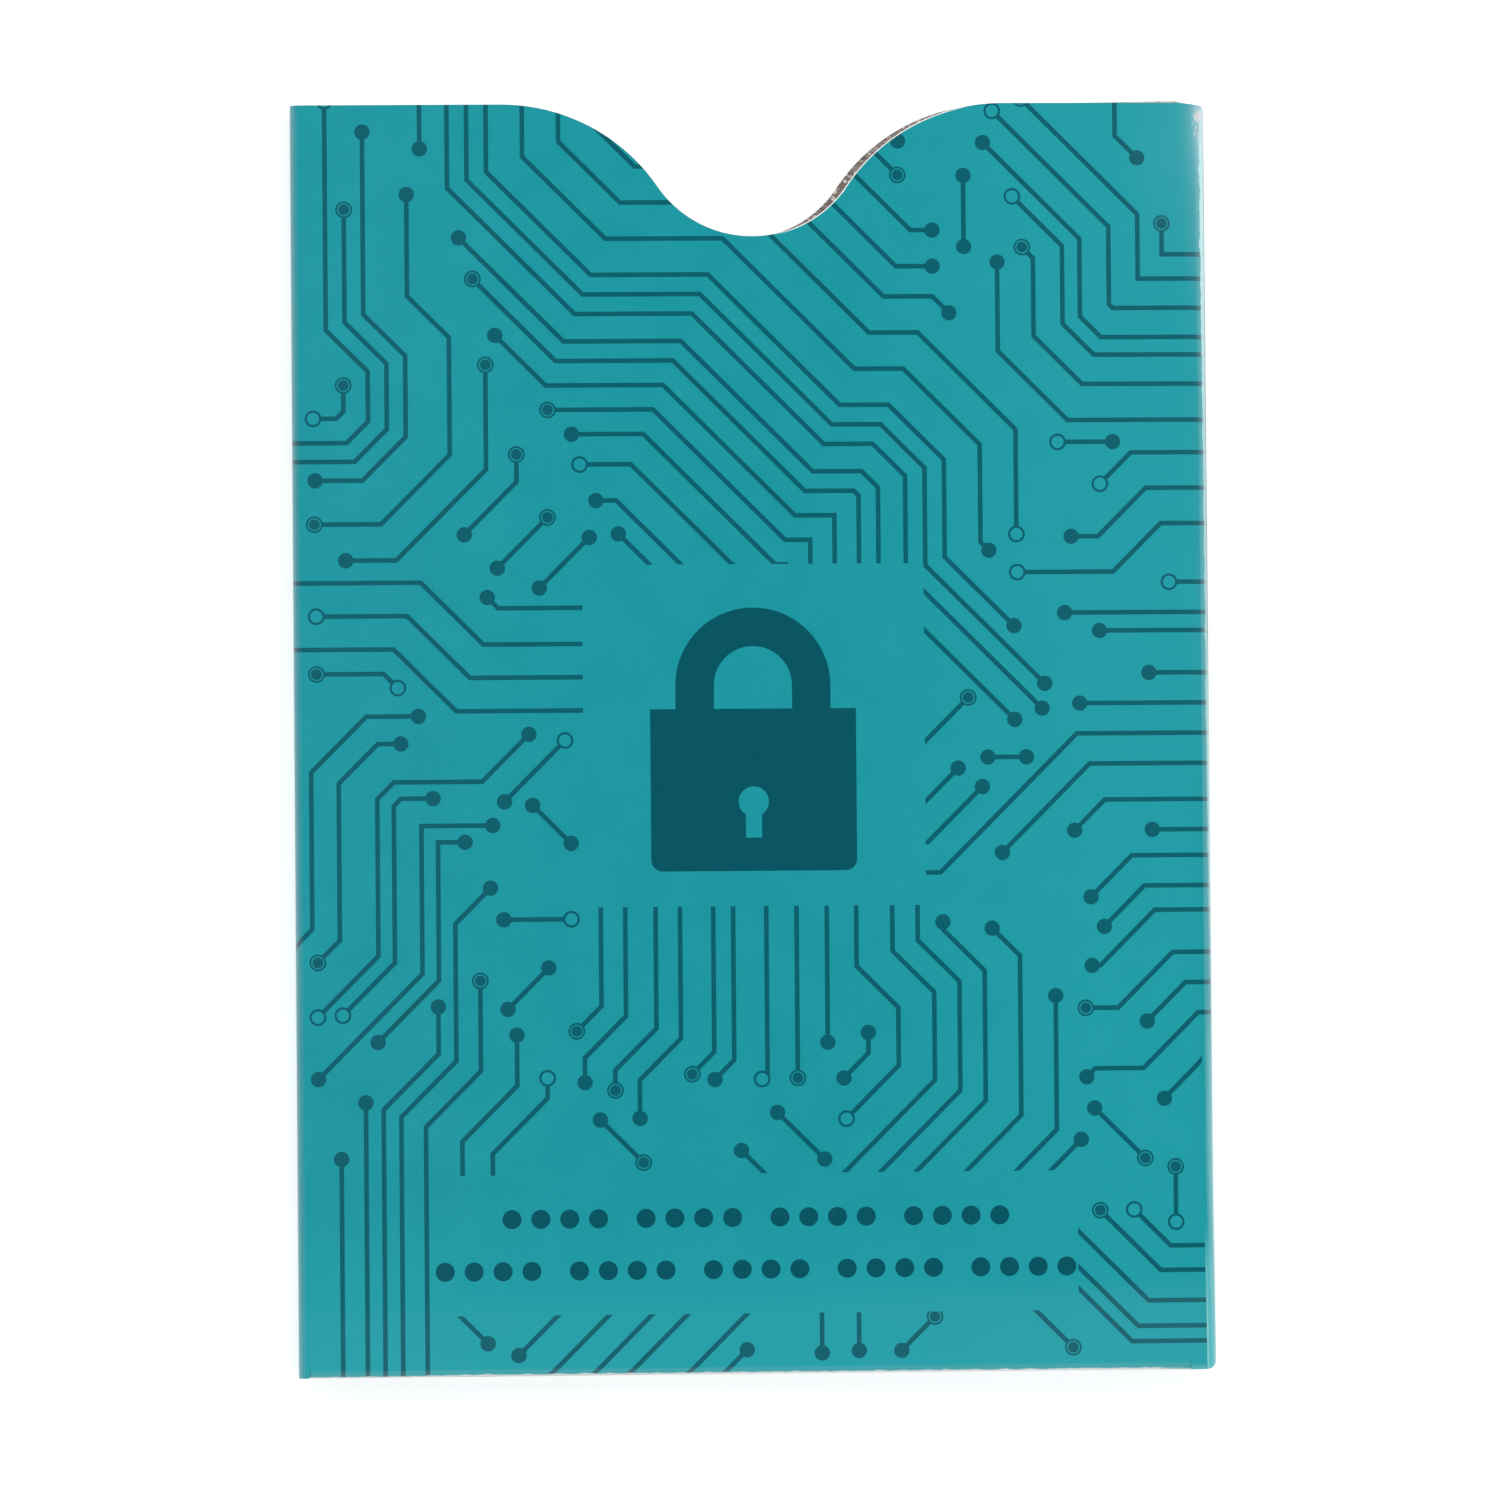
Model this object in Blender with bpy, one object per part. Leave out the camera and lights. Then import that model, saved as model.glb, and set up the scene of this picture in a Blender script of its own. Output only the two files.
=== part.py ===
"""Card cover for a travel document: one printed, foil-lined blank, folded into a flat pocket and glued.

The cover lies on its back panel with the print of the front facing up. X runs across the cover, +Y points out
of its mouth and +Z is up. The origin is the middle of the bounding box's underside. Lengths are in metres.

The blank is a front panel with three folds. The left fold carries the back panel. The right fold carries the
side glue flap and the bottom fold carries the bottom glue flap: both flaps lie inside, glued to the back panel.
Foil lines the whole inner side. Each fold and panel is a sheet of its own, cut apart along the crease lines.
"""

import math

import bmesh
import bpy

# Outline of the cover, across its folds and from its bottom fold to the mouth of the front panel
COVER_WIDTH = 0.094
COVER_LENGTH = 0.13

# Room for the document between the foil on the glue flaps and the foil of the front
POCKET_HEIGHT = 0.0042

# Sheets and what bonds them
CARD_THICKNESS = 0.00035
FOIL_THICKNESS = 0.00005
BOND_GAP = 0.00005
GLUE_THICKNESS = 0.0001

# Thumb notch in the mouth of the front and back panels: a round floor that runs into two round shoulders
NOTCH_DEPTH = 0.0136
NOTCH_HALF_WIDTH = 0.0254
NOTCH_FLOOR_RADIUS = 0.0115
BACK_NOTCH_SHIFT = 0.0005

# Folds: the left and bottom ones are pressed sharp, the right one stays round and tightens near the bottom
CREASE_RADIUS = 0.0009
CREASE_LAND = 0.0003
CREASE_GAP = 0.00005
RIGHT_FOLD_ROUND_SHARE = 0.94
RIGHT_FOLD_FOOT_RADIUS = 0.0012
RIGHT_FOLD_FOOT_LENGTH = 0.022
RIGHT_FOLD_FOOT_CORNER = 0.001
RIGHT_FOLD_MOUTH_CORNER = 0.0018

# How far the middle of the front panel bows up at the mouth
FRONT_BOW = 0.0005

# Cut edges of the back panel and of the side flap, which don't quite meet those of the front
BACK_EDGE_INSET = 0.0012
BACK_FOOT_OVERHANG = 0.0004
BACK_MOUTH_OVERHANG = 0.00035
SIDE_FLAP_OVERHANG = 0.0006

# Glue flaps, and the glue between them and the back panel
SIDE_FLAP_WIDTH = 0.012
SIDE_FLAP_TAPER = 0.0002
BOTTOM_FLAP_WIDTH = 0.013
BOTTOM_FLAP_TAPER = 0.002
FLAP_CLEARANCE = 0.0008
GLUE_LINE_WIDTH = 0.004
GLUE_LINE_INSET = 0.003
GLUE_END_MARGIN = 0.005

# Faceting
ARC_STEP = math.radians(6)
CREASE_STEPS = 5
ROUND_FOLD_STEPS = 9
PANEL_ROWS = 9
FOLD_ROWS = 18
SIDE_COLUMNS = 4
SMOOTH_LIMIT = math.radians(30)

# Heights that follow from the stack of sheets
LINING_DEPTH = CARD_THICKNESS + BOND_GAP
WALL = LINING_DEPTH + FOIL_THICKNESS
GLUE_SPACE = GLUE_THICKNESS + 2 * BOND_GAP
FLAP_BASE = WALL + GLUE_SPACE
FRONT_TOP = FLAP_BASE + WALL + POCKET_HEIGHT + WALL

# Places that follow from the outline
LEFT = -COVER_WIDTH / 2
RIGHT = COVER_WIDTH / 2
MOUTH = (COVER_LENGTH + BACK_FOOT_OVERHANG - SIDE_FLAP_OVERHANG) / 2
FOOT = MOUTH - COVER_LENGTH
RIGHT_FOLD_RADIUS = (FRONT_TOP - FLAP_BASE) / 2 * RIGHT_FOLD_ROUND_SHARE
LEFT_CREASE = LEFT + CREASE_RADIUS + CREASE_LAND
RIGHT_CREASE = RIGHT - RIGHT_FOLD_RADIUS - CREASE_LAND
FOOT_CREASE = FOOT + CREASE_RADIUS + CREASE_LAND

# Notch arcs: both turn through the same angle, so they meet on one tangent
NOTCH_ANGLE = 2 * math.atan(NOTCH_DEPTH / NOTCH_HALF_WIDTH)
NOTCH_SHOULDER_RADIUS = NOTCH_HALF_WIDTH / math.sin(NOTCH_ANGLE) - NOTCH_FLOOR_RADIUS
NOTCH_FLOOR_REACH = NOTCH_FLOOR_RADIUS * math.sin(NOTCH_ANGLE)

# Finishes: colour as linear red, green and blue, then roughness and metallic value
PRINTED_CARD = ((0.015, 0.328, 0.366), 0.25, 0.0)
FOIL = ((0.62, 0.60, 0.57), 0.35, 1.0)
GLUE = ((0.72, 0.68, 0.55), 0.5, 0.0)


def clear_scene():
    for old in list(bpy.data.objects):
        bpy.data.objects.remove(old, do_unlink=True)


def make_material(name, finish):
    colour, roughness, metallic = finish
    material = bpy.data.materials.new(name)
    material.use_nodes = True
    shader = material.node_tree.nodes["Principled BSDF"]
    shader.inputs["Base Color"].default_value = (*colour, 1.0)
    shader.inputs["Roughness"].default_value = roughness
    shader.inputs["Metallic"].default_value = metallic
    material.diffuse_color = (*colour, 1.0)
    return material


def make_object(name, shape, place, finish, parent):
    """Object from a bmesh whose points are in the cover's frame, with its own origin at place."""
    bmesh.ops.translate(shape, verts=shape.verts, vec=[-value for value in place])
    mesh = bpy.data.meshes.new(name)
    shape.to_mesh(mesh)
    shape.free()
    mesh.shade_smooth()
    mesh.set_sharp_from_angle(angle=SMOOTH_LIMIT)
    mesh.materials.append(make_material(name, finish))
    made = bpy.data.objects.new(name, mesh)
    bpy.context.scene.collection.objects.link(made)
    made.location = place
    made.parent = parent
    return made


def add_sheet(name, columns, rows, point, thickness, place, finish, parent):
    """Sheet laid over the surface point(column, row), which gives its outer face, and thickened inwards."""
    shape = bmesh.new()
    bmesh.ops.create_grid(shape, x_segments=columns, y_segments=rows, size=1.0)
    for corner in shape.verts:
        column = round((corner.co.x + 1) / 2 * columns)
        row = round((corner.co.y + 1) / 2 * rows)
        corner.co = point(column, row)
    sheet = make_object(name, shape, place, finish, parent)
    solidify = sheet.modifiers.new("thickness", "SOLIDIFY")
    solidify.thickness = thickness
    solidify.offset = -1
    solidify.use_even_offset = True
    return sheet


def between(start, end, share):
    return start + (end - start) * share


def ease(share):
    """Smooth step from 0 to 1."""
    share = min(max(share, 0), 1)
    return share * share * (3 - 2 * share)


def notch_drop(across):
    """How far the mouth edge lies below its straight line, at a distance across from the notch's middle."""
    across = abs(across)
    if across >= NOTCH_HALF_WIDTH:
        return 0
    if across > NOTCH_FLOOR_REACH:
        reach = NOTCH_HALF_WIDTH - across
        return NOTCH_SHOULDER_RADIUS - math.sqrt(NOTCH_SHOULDER_RADIUS**2 - reach**2)
    return NOTCH_DEPTH - NOTCH_FLOOR_RADIUS + math.sqrt(NOTCH_FLOOR_RADIUS**2 - across**2)


def notched_columns(left, right, middle):
    """Column places from left to right: even steps beside the notch, and even turns along its arcs."""
    turns = round(NOTCH_ANGLE / ARC_STEP)
    angles = [NOTCH_ANGLE * turn / turns for turn in range(turns)]
    floor = [NOTCH_FLOOR_RADIUS * math.sin(angle) for angle in angles]
    shoulder = [NOTCH_HALF_WIDTH - NOTCH_SHOULDER_RADIUS * math.sin(angle) for angle in angles]
    half = sorted(floor + shoulder + [NOTCH_FLOOR_REACH])
    notch = [middle - across for across in reversed(half[1:])] + [middle + across for across in half]
    before = [between(left, notch[0], step / SIDE_COLUMNS) for step in range(SIDE_COLUMNS)]
    after = [between(notch[-1], right, (step + 1) / SIDE_COLUMNS) for step in range(SIDE_COLUMNS)]
    return before + notch + after


def front_bow(across, along):
    """Rise of the front panel, none at its creases and most in the middle of its mouth."""
    middle = (LEFT_CREASE + RIGHT_CREASE) / 2
    half_span = (RIGHT_CREASE - LEFT_CREASE) / 2
    arch = 1 - ((across - middle) / half_span) ** 2
    return FRONT_BOW * arch * ease((along - FOOT_CREASE) / (MOUTH - FOOT_CREASE))


def add_front(name, depth, thickness, finish, parent):
    """Front panel between its three creases, open to the mouth."""
    low = FOOT_CREASE + CREASE_GAP
    columns = notched_columns(LEFT_CREASE + CREASE_GAP, RIGHT_CREASE - CREASE_GAP, 0)

    def point(column, row):
        across = columns[column]
        along = between(low, MOUTH - notch_drop(across), row / PANEL_ROWS)
        return across, along, FRONT_TOP - depth + front_bow(across, along)

    place = (0, 0, FRONT_TOP - depth)
    return add_sheet(name, len(columns) - 1, PANEL_ROWS, point, thickness, place, finish, parent)


def add_back(name, depth, thickness, finish, parent):
    """Back panel, flat, with cut edges at its right, foot and mouth. Foot and mouth run out a little to the right."""
    left = LEFT_CREASE + CREASE_GAP
    right = RIGHT - BACK_EDGE_INSET
    columns = notched_columns(left, right, -BACK_NOTCH_SHIFT)
    columns.reverse()

    def point(column, row):
        across = columns[column]
        share = (across - left) / (right - left)
        foot = FOOT - BACK_FOOT_OVERHANG * share
        mouth = MOUTH + BACK_MOUTH_OVERHANG * share - notch_drop(across + BACK_NOTCH_SHIFT)
        return across, between(foot, mouth, row), depth

    return add_sheet(name, len(columns) - 1, 1, point, thickness, (0, 0, depth), finish, parent)


def quarter_arc(centre, radius, start_angle, steps):
    """Points of a quarter turn, clockwise from start_angle, as pairs of a sideways place and a height."""
    angles = [start_angle - math.pi / 2 * step / steps for step in range(steps + 1)]
    return [(centre[0] + radius * math.cos(a), centre[1] + radius * math.sin(a)) for a in angles]


def left_profile(depth):
    """Section of the left fold at a depth below its outer face, from the back panel up to the front panel."""
    centre = LEFT + CREASE_RADIUS
    radius = CREASE_RADIUS - depth
    lower = quarter_arc((centre, CREASE_RADIUS), radius, -math.pi / 2, CREASE_STEPS)
    upper = quarter_arc((centre, FRONT_TOP - CREASE_RADIUS), radius, math.pi, CREASE_STEPS)
    return [(LEFT_CREASE, depth)] + lower + upper + [(LEFT_CREASE, FRONT_TOP - depth)]


def add_left_fold(name, depth, thickness, finish, parent):
    profile = left_profile(depth)

    def point(column, row):
        across, height = profile[column]
        return across, between(FOOT, MOUTH, row), height

    place = (LEFT, 0, 0)
    return add_sheet(name, len(profile) - 1, 1, point, thickness, place, finish, parent)


def right_profile(depth, along_share):
    """Section of the right fold at a share of its length, from the front panel down to the side flap."""
    foot_share = RIGHT_FOLD_FOOT_LENGTH / COVER_LENGTH
    outer = between(RIGHT_FOLD_FOOT_RADIUS, RIGHT_FOLD_RADIUS, ease(along_share / foot_share))
    centre = RIGHT - outer
    radius = outer - depth
    upper = quarter_arc((centre, FRONT_TOP - outer), radius, math.pi / 2, ROUND_FOLD_STEPS)
    lower = quarter_arc((centre, FLAP_BASE + outer), radius, 0, ROUND_FOLD_STEPS)
    return [(RIGHT_CREASE, FRONT_TOP - depth)] + upper + lower + [(RIGHT_CREASE, FLAP_BASE + depth)]


def corner_cut(across, radius):
    """How far an end of the right fold draws back, so that its corner looks round from above."""
    reach_share = min(max((across - RIGHT) / radius + 1, 0), 1)
    return radius * (1 - math.sqrt(1 - reach_share**2))


def add_right_fold(name, depth, thickness, finish, parent):
    columns = len(right_profile(depth, 1)) - 1

    def point(column, row):
        share = row / FOLD_ROWS
        across, height = right_profile(depth, share)[column]
        outer = right_profile(0, share)[column][0]
        foot = FOOT + corner_cut(outer, RIGHT_FOLD_FOOT_CORNER)
        mouth = MOUTH + SIDE_FLAP_OVERHANG * column / columns - corner_cut(outer, RIGHT_FOLD_MOUTH_CORNER)
        return across, between(foot, mouth, share), height

    place = (RIGHT, 0, FLAP_BASE)
    return add_sheet(name, columns, FOLD_ROWS, point, thickness, place, finish, parent)


def bottom_profile(depth):
    """Section of the bottom fold, from the front panel down to the bottom flap."""
    centre = FOOT + CREASE_RADIUS
    radius = CREASE_RADIUS - depth
    turn = math.pi / 2
    upper = [(centre - radius * math.sin(turn * step / CREASE_STEPS),
              FRONT_TOP - CREASE_RADIUS + radius * math.cos(turn * step / CREASE_STEPS))
             for step in range(CREASE_STEPS + 1)]
    lower = [(along, FRONT_TOP + FLAP_BASE - height) for along, height in reversed(upper)]
    return [(FOOT_CREASE, FRONT_TOP - depth)] + upper + lower + [(FOOT_CREASE, FLAP_BASE + depth)]


def add_bottom_fold(name, depth, thickness, finish, parent):
    profile = bottom_profile(depth)
    left = LEFT_CREASE + CREASE_GAP
    right = RIGHT_CREASE - CREASE_GAP

    def point(column, row):
        along, height = profile[column]
        return between(left, right, row), along, height

    place = (0, FOOT, FLAP_BASE)
    return add_sheet(name, len(profile) - 1, 1, point, thickness, place, finish, parent)


def side_flap_outline():
    """Corners of the side flap: mitred at the foot beside the bottom flap, and tapered at the mouth."""
    fold = RIGHT_CREASE - CREASE_GAP
    free = fold - SIDE_FLAP_WIDTH
    foot = FOOT_CREASE + CREASE_GAP + FLAP_CLEARANCE
    mouth = MOUTH + SIDE_FLAP_OVERHANG
    return ((fold, foot), (free, foot + SIDE_FLAP_WIDTH)), ((fold, mouth), (free, mouth - SIDE_FLAP_TAPER))


def bottom_flap_outline():
    """Corners of the bottom flap: mitred at the right beside the side flap, and tapered at the left."""
    fold = FOOT_CREASE + CREASE_GAP
    free = fold + BOTTOM_FLAP_WIDTH
    left = LEFT_CREASE + FLAP_CLEARANCE
    right = RIGHT_CREASE - CREASE_GAP - FLAP_CLEARANCE
    return ((right, fold), (left, fold)), ((right - BOTTOM_FLAP_WIDTH, free), (left + BOTTOM_FLAP_TAPER, free))


def add_flap(name, outline, depth, thickness, finish, parent):
    """Flat flap whose printed face looks down at the back panel."""

    def point(column, row):
        across, along = outline[row][column]
        return across, along, FLAP_BASE + depth

    return add_sheet(name, 1, 1, point, thickness, (*outline[0][0], FLAP_BASE), finish, parent)


def add_glue_line(name, low, high, finish, parent):
    """Flat line of glue with round ends, between the back panel's foil and a flap."""
    size = (high[0] - low[0], high[1] - low[1], GLUE_THICKNESS)
    base = WALL + BOND_GAP
    place = ((low[0] + high[0]) / 2, (low[1] + high[1]) / 2, base)
    shape = bmesh.new()
    bmesh.ops.create_cube(shape, size=1.0)
    bmesh.ops.scale(shape, verts=shape.verts, vec=size)
    bmesh.ops.translate(shape, verts=shape.verts, vec=(place[0], place[1], base + GLUE_THICKNESS / 2))
    upright = [e for e in shape.edges if abs(e.verts[0].co.z - e.verts[1].co.z) > GLUE_THICKNESS / 2]
    bmesh.ops.bevel(shape, geom=upright, offset=min(size[0], size[1]) / 2, offset_type="OFFSET",
                    segments=CREASE_STEPS, profile=0.5, affect="EDGES", clamp_overlap=True)
    bmesh.ops.remove_doubles(shape, verts=shape.verts, dist=BOND_GAP / 2)
    return make_object(name, shape, place, finish, parent)


def add_side_glue_line(parent):
    (fold_low, free_low), (_, free_high) = side_flap_outline()
    right = fold_low[0] - GLUE_LINE_INSET
    low = (right - GLUE_LINE_WIDTH, free_low[1] + GLUE_END_MARGIN)
    high = (right, free_high[1] - GLUE_END_MARGIN)
    return add_glue_line("side_glue_line", low, high, GLUE, parent)


def add_bottom_glue_line(parent):
    (_, fold_left), (free_right, free_left) = bottom_flap_outline()
    base = fold_left[1] + GLUE_LINE_INSET
    low = (free_left[0] + GLUE_END_MARGIN, base)
    high = (free_right[0] - GLUE_END_MARGIN, base + GLUE_LINE_WIDTH)
    return add_glue_line("bottom_glue_line", low, high, GLUE, parent)


def add_blank(names, depth, thickness, finish, parent):
    """All seven sheets of one layer of the folded blank."""
    add_front(names["front"], depth, thickness, finish, parent)
    add_left_fold(names["left"], depth, thickness, finish, parent)
    add_back(names["back"], depth, thickness, finish, parent)
    add_right_fold(names["right"], depth, thickness, finish, parent)
    add_flap(names["side"], side_flap_outline(), depth, thickness, finish, parent)
    add_bottom_fold(names["foot"], depth, thickness, finish, parent)
    add_flap(names["bottom"], bottom_flap_outline(), depth, thickness, finish, parent)


CARD_NAMES = {
    "front": "front_panel",
    "left": "left_fold",
    "back": "back_panel",
    "right": "right_fold",
    "side": "side_glue_flap",
    "foot": "bottom_fold",
    "bottom": "bottom_glue_flap",
}
FOIL_NAMES = {
    "front": "front_foil",
    "left": "left_fold_foil",
    "back": "back_foil",
    "right": "right_fold_foil",
    "side": "side_flap_foil",
    "foot": "bottom_fold_foil",
    "bottom": "bottom_flap_foil",
}


def build_cover():
    clear_scene()
    cover = bpy.data.objects.new("cover", None)
    bpy.context.scene.collection.objects.link(cover)
    add_blank(CARD_NAMES, 0, CARD_THICKNESS, PRINTED_CARD, cover)
    add_blank(FOIL_NAMES, LINING_DEPTH, FOIL_THICKNESS, FOIL, cover)
    add_side_glue_line(cover)
    add_bottom_glue_line(cover)


build_cover()
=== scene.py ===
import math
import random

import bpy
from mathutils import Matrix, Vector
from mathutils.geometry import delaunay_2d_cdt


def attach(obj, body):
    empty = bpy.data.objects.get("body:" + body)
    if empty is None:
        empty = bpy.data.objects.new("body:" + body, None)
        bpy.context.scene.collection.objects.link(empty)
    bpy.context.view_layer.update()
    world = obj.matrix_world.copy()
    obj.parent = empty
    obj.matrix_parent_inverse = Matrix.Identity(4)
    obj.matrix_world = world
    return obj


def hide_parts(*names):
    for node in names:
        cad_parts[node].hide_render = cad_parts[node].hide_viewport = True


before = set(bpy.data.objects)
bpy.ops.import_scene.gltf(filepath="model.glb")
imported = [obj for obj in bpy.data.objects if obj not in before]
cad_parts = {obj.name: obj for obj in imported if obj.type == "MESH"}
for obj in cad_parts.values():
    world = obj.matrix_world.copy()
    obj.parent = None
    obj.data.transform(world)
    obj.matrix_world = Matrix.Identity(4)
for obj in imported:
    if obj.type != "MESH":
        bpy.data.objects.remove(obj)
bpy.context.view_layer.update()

# Looks of the travel document cover: a printed, film-covered card blank with a foil lining, folded flat.
#
# The blank is laid out flat, in millimetres: u runs across it and v along it, and the front panel has the
# same places flat as folded. The print is cut into the flat sheet, so that its edges stay sharp, and the
# sheet is then folded by folded(). Its places turn to metres in to_metres().

# Sizes of the cover, as in the solids
COVER_WIDTH = 94.0
COVER_LENGTH = 130.0
POCKET_HEIGHT = 4.2
CARD = 0.35
FOIL_TOP = 0.36
FOIL_BOTTOM = 0.45
WALL = 0.45
FLAP_BASE = 0.65
FRONT_TOP = FLAP_BASE + WALL + POCKET_HEIGHT + WALL
NOTCH_DEPTH = 13.6
NOTCH_HALF_WIDTH = 25.4
NOTCH_FLOOR_RADIUS = 11.5
CREASE_RADIUS = 0.9
CREASE_LAND = 0.3
RIGHT_FOLD_ROUND_SHARE = 0.94
RIGHT_FOLD_RADIUS = (FRONT_TOP - FLAP_BASE) / 2 * RIGHT_FOLD_ROUND_SHARE
RIGHT_FOLD_FOOT_RADIUS = 1.2
RIGHT_FOLD_FOOT_LENGTH = 22.0
RIGHT_FOLD_FOOT_CORNER = 1.0
FRONT_BOW = 0.5
BACK_EDGE_INSET = 1.2
BACK_FOOT_OVERHANG = 0.4
BACK_MOUTH_OVERHANG = 0.35
SIDE_FLAP_OVERHANG = 0.6
SIDE_FLAP_WIDTH = 12.0
SIDE_FLAP_TAPER = 0.2
BOTTOM_FLAP_WIDTH = 13.0
BOTTOM_FLAP_TAPER = 2.0
FLAP_CLEARANCE = 0.8

LEFT = -COVER_WIDTH / 2
RIGHT = COVER_WIDTH / 2
MOUTH = (COVER_LENGTH + BACK_FOOT_OVERHANG - SIDE_FLAP_OVERHANG) / 2
FOOT = MOUTH - COVER_LENGTH
LEFT_CREASE = LEFT + CREASE_RADIUS + CREASE_LAND
RIGHT_CREASE = RIGHT - RIGHT_FOLD_RADIUS - CREASE_LAND
FOOT_CREASE = FOOT + CREASE_RADIUS + CREASE_LAND
NOTCH_ANGLE = 2 * math.atan(NOTCH_DEPTH / NOTCH_HALF_WIDTH)
NOTCH_SHOULDER_RADIUS = NOTCH_HALF_WIDTH / math.sin(NOTCH_ANGLE) - NOTCH_FLOOR_RADIUS
NOTCH_FLOOR_REACH = NOTCH_FLOOR_RADIUS * math.sin(NOTCH_ANGLE)

# Small departures of the sheet from the solids: the notches lie a little to one side and the front one is
# wider, the slits beside the bottom fold are shut, the back panel runs out less far at the foot, and the
# mouth sinks over the right fold and has a small corner
NOTCH_SHIFT = 0.22
NOTCH_STRETCH = 1.012
BACK_NOTCH_SHIFT = 0.3
SLIT = 0.01
BACK_FOOT_REACH = 0.2
MOUTH_SINK = 0.35
RIGHT_FOLD_MOUTH_CORNER = 0.5

# Grid that lets the front panel bow, and how far the lines of a fold run past the blank
GRID_COLUMNS = 18
GRID_ROWS = 52
LINE_REACH = 1.0

# Inks, as shares of the dark one
GROUND, PALE_INK, TRACE_INK, FIGURE_INK = 0.0, 0.12, 0.9, 1.0

# Sizes of the print
LINE_WIDTH = 0.48
PAD_RADIUS = 0.8
RING_RADIUS = 0.87
RING_OPENING_RADIUS = 0.63
TARGET_GAP_RADIUS = 0.68
DOT_RADIUS = 0.56

# Pads at the ends of traces: the ink, radius and sides of each of their discs, and the common pad repeated
FULL_PAD = ((TRACE_INK, PAD_RADIUS, 18),)
RING_PAD = ((TRACE_INK, RING_RADIUS, 20), (GROUND, RING_OPENING_RADIUS, 16))
TARGET_PAD = ((TRACE_INK, RING_RADIUS, 20), (PALE_INK, TARGET_GAP_RADIUS, 16), (TRACE_INK, DOT_RADIUS, 14))
PADS = (FULL_PAD, FULL_PAD, FULL_PAD, RING_PAD, TARGET_PAD)

# Ground without traces: around the padlock, around the rows of dots, and low on the right fold
WINDOW = (-17.5, -17.3, 17.5, 17.7)
FIELD = (-33.2, -58.9, 32.8, -44.6)
BARE_RUN = 1.5
BARE_FOLD = (RIGHT_CREASE + BARE_RUN, FOOT - 1, RIGHT_CREASE + 5.5, -30)


def between(start, end, share):
    return start + (end - start) * share


def moved(point, direction, distance):
    return point[0] + direction[0] * distance, point[1] + direction[1] * distance


def around(middle, radius, angle):
    return moved(middle, (math.cos(angle), math.sin(angle)), radius)


def apart(start, end):
    return end[0] - start[0], end[1] - start[1]


def cross(first, second):
    return first[0] * second[1] - first[1] * second[0]


def dot(first, second):
    return first[0] * second[0] + first[1] * second[1]


def ease(share):
    """Smooth step from 0 to 1."""
    share = min(max(share, 0.0), 1.0)
    return share * share * (3 - 2 * share)


# Folding

def fold_lengths(radius, height, land=CREASE_LAND):
    """Developed lengths of a fold's land, arc, wall, arc and land."""
    turned = radius * math.pi / 2
    return (land, turned, height - 2 * radius, turned, land)


LEFT_LENGTHS = fold_lengths(CREASE_RADIUS, FRONT_TOP)
RIGHT_LENGTHS = fold_lengths(RIGHT_FOLD_RADIUS, FRONT_TOP - FLAP_BASE)
FOOT_LENGTHS = fold_lengths(CREASE_RADIUS, FRONT_TOP - FLAP_BASE)
LEFT_FOLD_END = LEFT_CREASE - sum(LEFT_LENGTHS)
RIGHT_FOLD_END = RIGHT_CREASE + sum(RIGHT_LENGTHS)
FOOT_FOLD_END = FOOT_CREASE - sum(FOOT_LENGTHS)
BACK_END = LEFT_FOLD_END - (RIGHT - BACK_EDGE_INSET - LEFT_CREASE)
SIDE_FLAP_END = RIGHT_FOLD_END + SIDE_FLAP_WIDTH


def fold_section(run, depth, lengths, radius, base):
    """Reach beyond the crease and height of a fold, at a run along its outer face from the front panel."""
    part = 0
    while part < 4 and run > lengths[part]:
        run -= lengths[part]
        part += 1
    share = run / lengths[part]
    land = lengths[0]
    bend = radius - depth
    turn = share * math.pi / 2
    if part == 0:
        return run, FRONT_TOP - depth
    if part == 1:
        return land + bend * math.sin(turn), FRONT_TOP - radius + bend * math.cos(turn)
    if part == 2:
        return land + bend, between(FRONT_TOP - radius, base + radius, share)
    if part == 3:
        return land + bend * math.cos(turn), base + radius - bend * math.sin(turn)
    return (1 - share) * land, base + depth


def front_bow(u, v):
    middle = (LEFT_CREASE + RIGHT_CREASE) / 2
    half_span = (RIGHT_CREASE - LEFT_CREASE) / 2
    crown = max(1 - ((u - middle) / half_span) ** 2, 0)
    return FRONT_BOW * crown * ease((v - FOOT_CREASE) / (MOUTH - FOOT_CREASE))


def right_radius(v):
    return between(RIGHT_FOLD_FOOT_RADIUS, RIGHT_FOLD_RADIUS, ease((v - FOOT) / RIGHT_FOLD_FOOT_LENGTH))


def right_section(run, v, depth):
    """Section of the right fold, evenly stretched where its corner is tighter."""
    radius = right_radius(v)
    lengths = fold_lengths(radius, FRONT_TOP - FLAP_BASE, CREASE_LAND + RIGHT_FOLD_RADIUS - radius)
    run = min(run * sum(lengths) / sum(RIGHT_LENGTHS), sum(lengths))
    return fold_section(run, depth, lengths, radius, FLAP_BASE)


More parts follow.
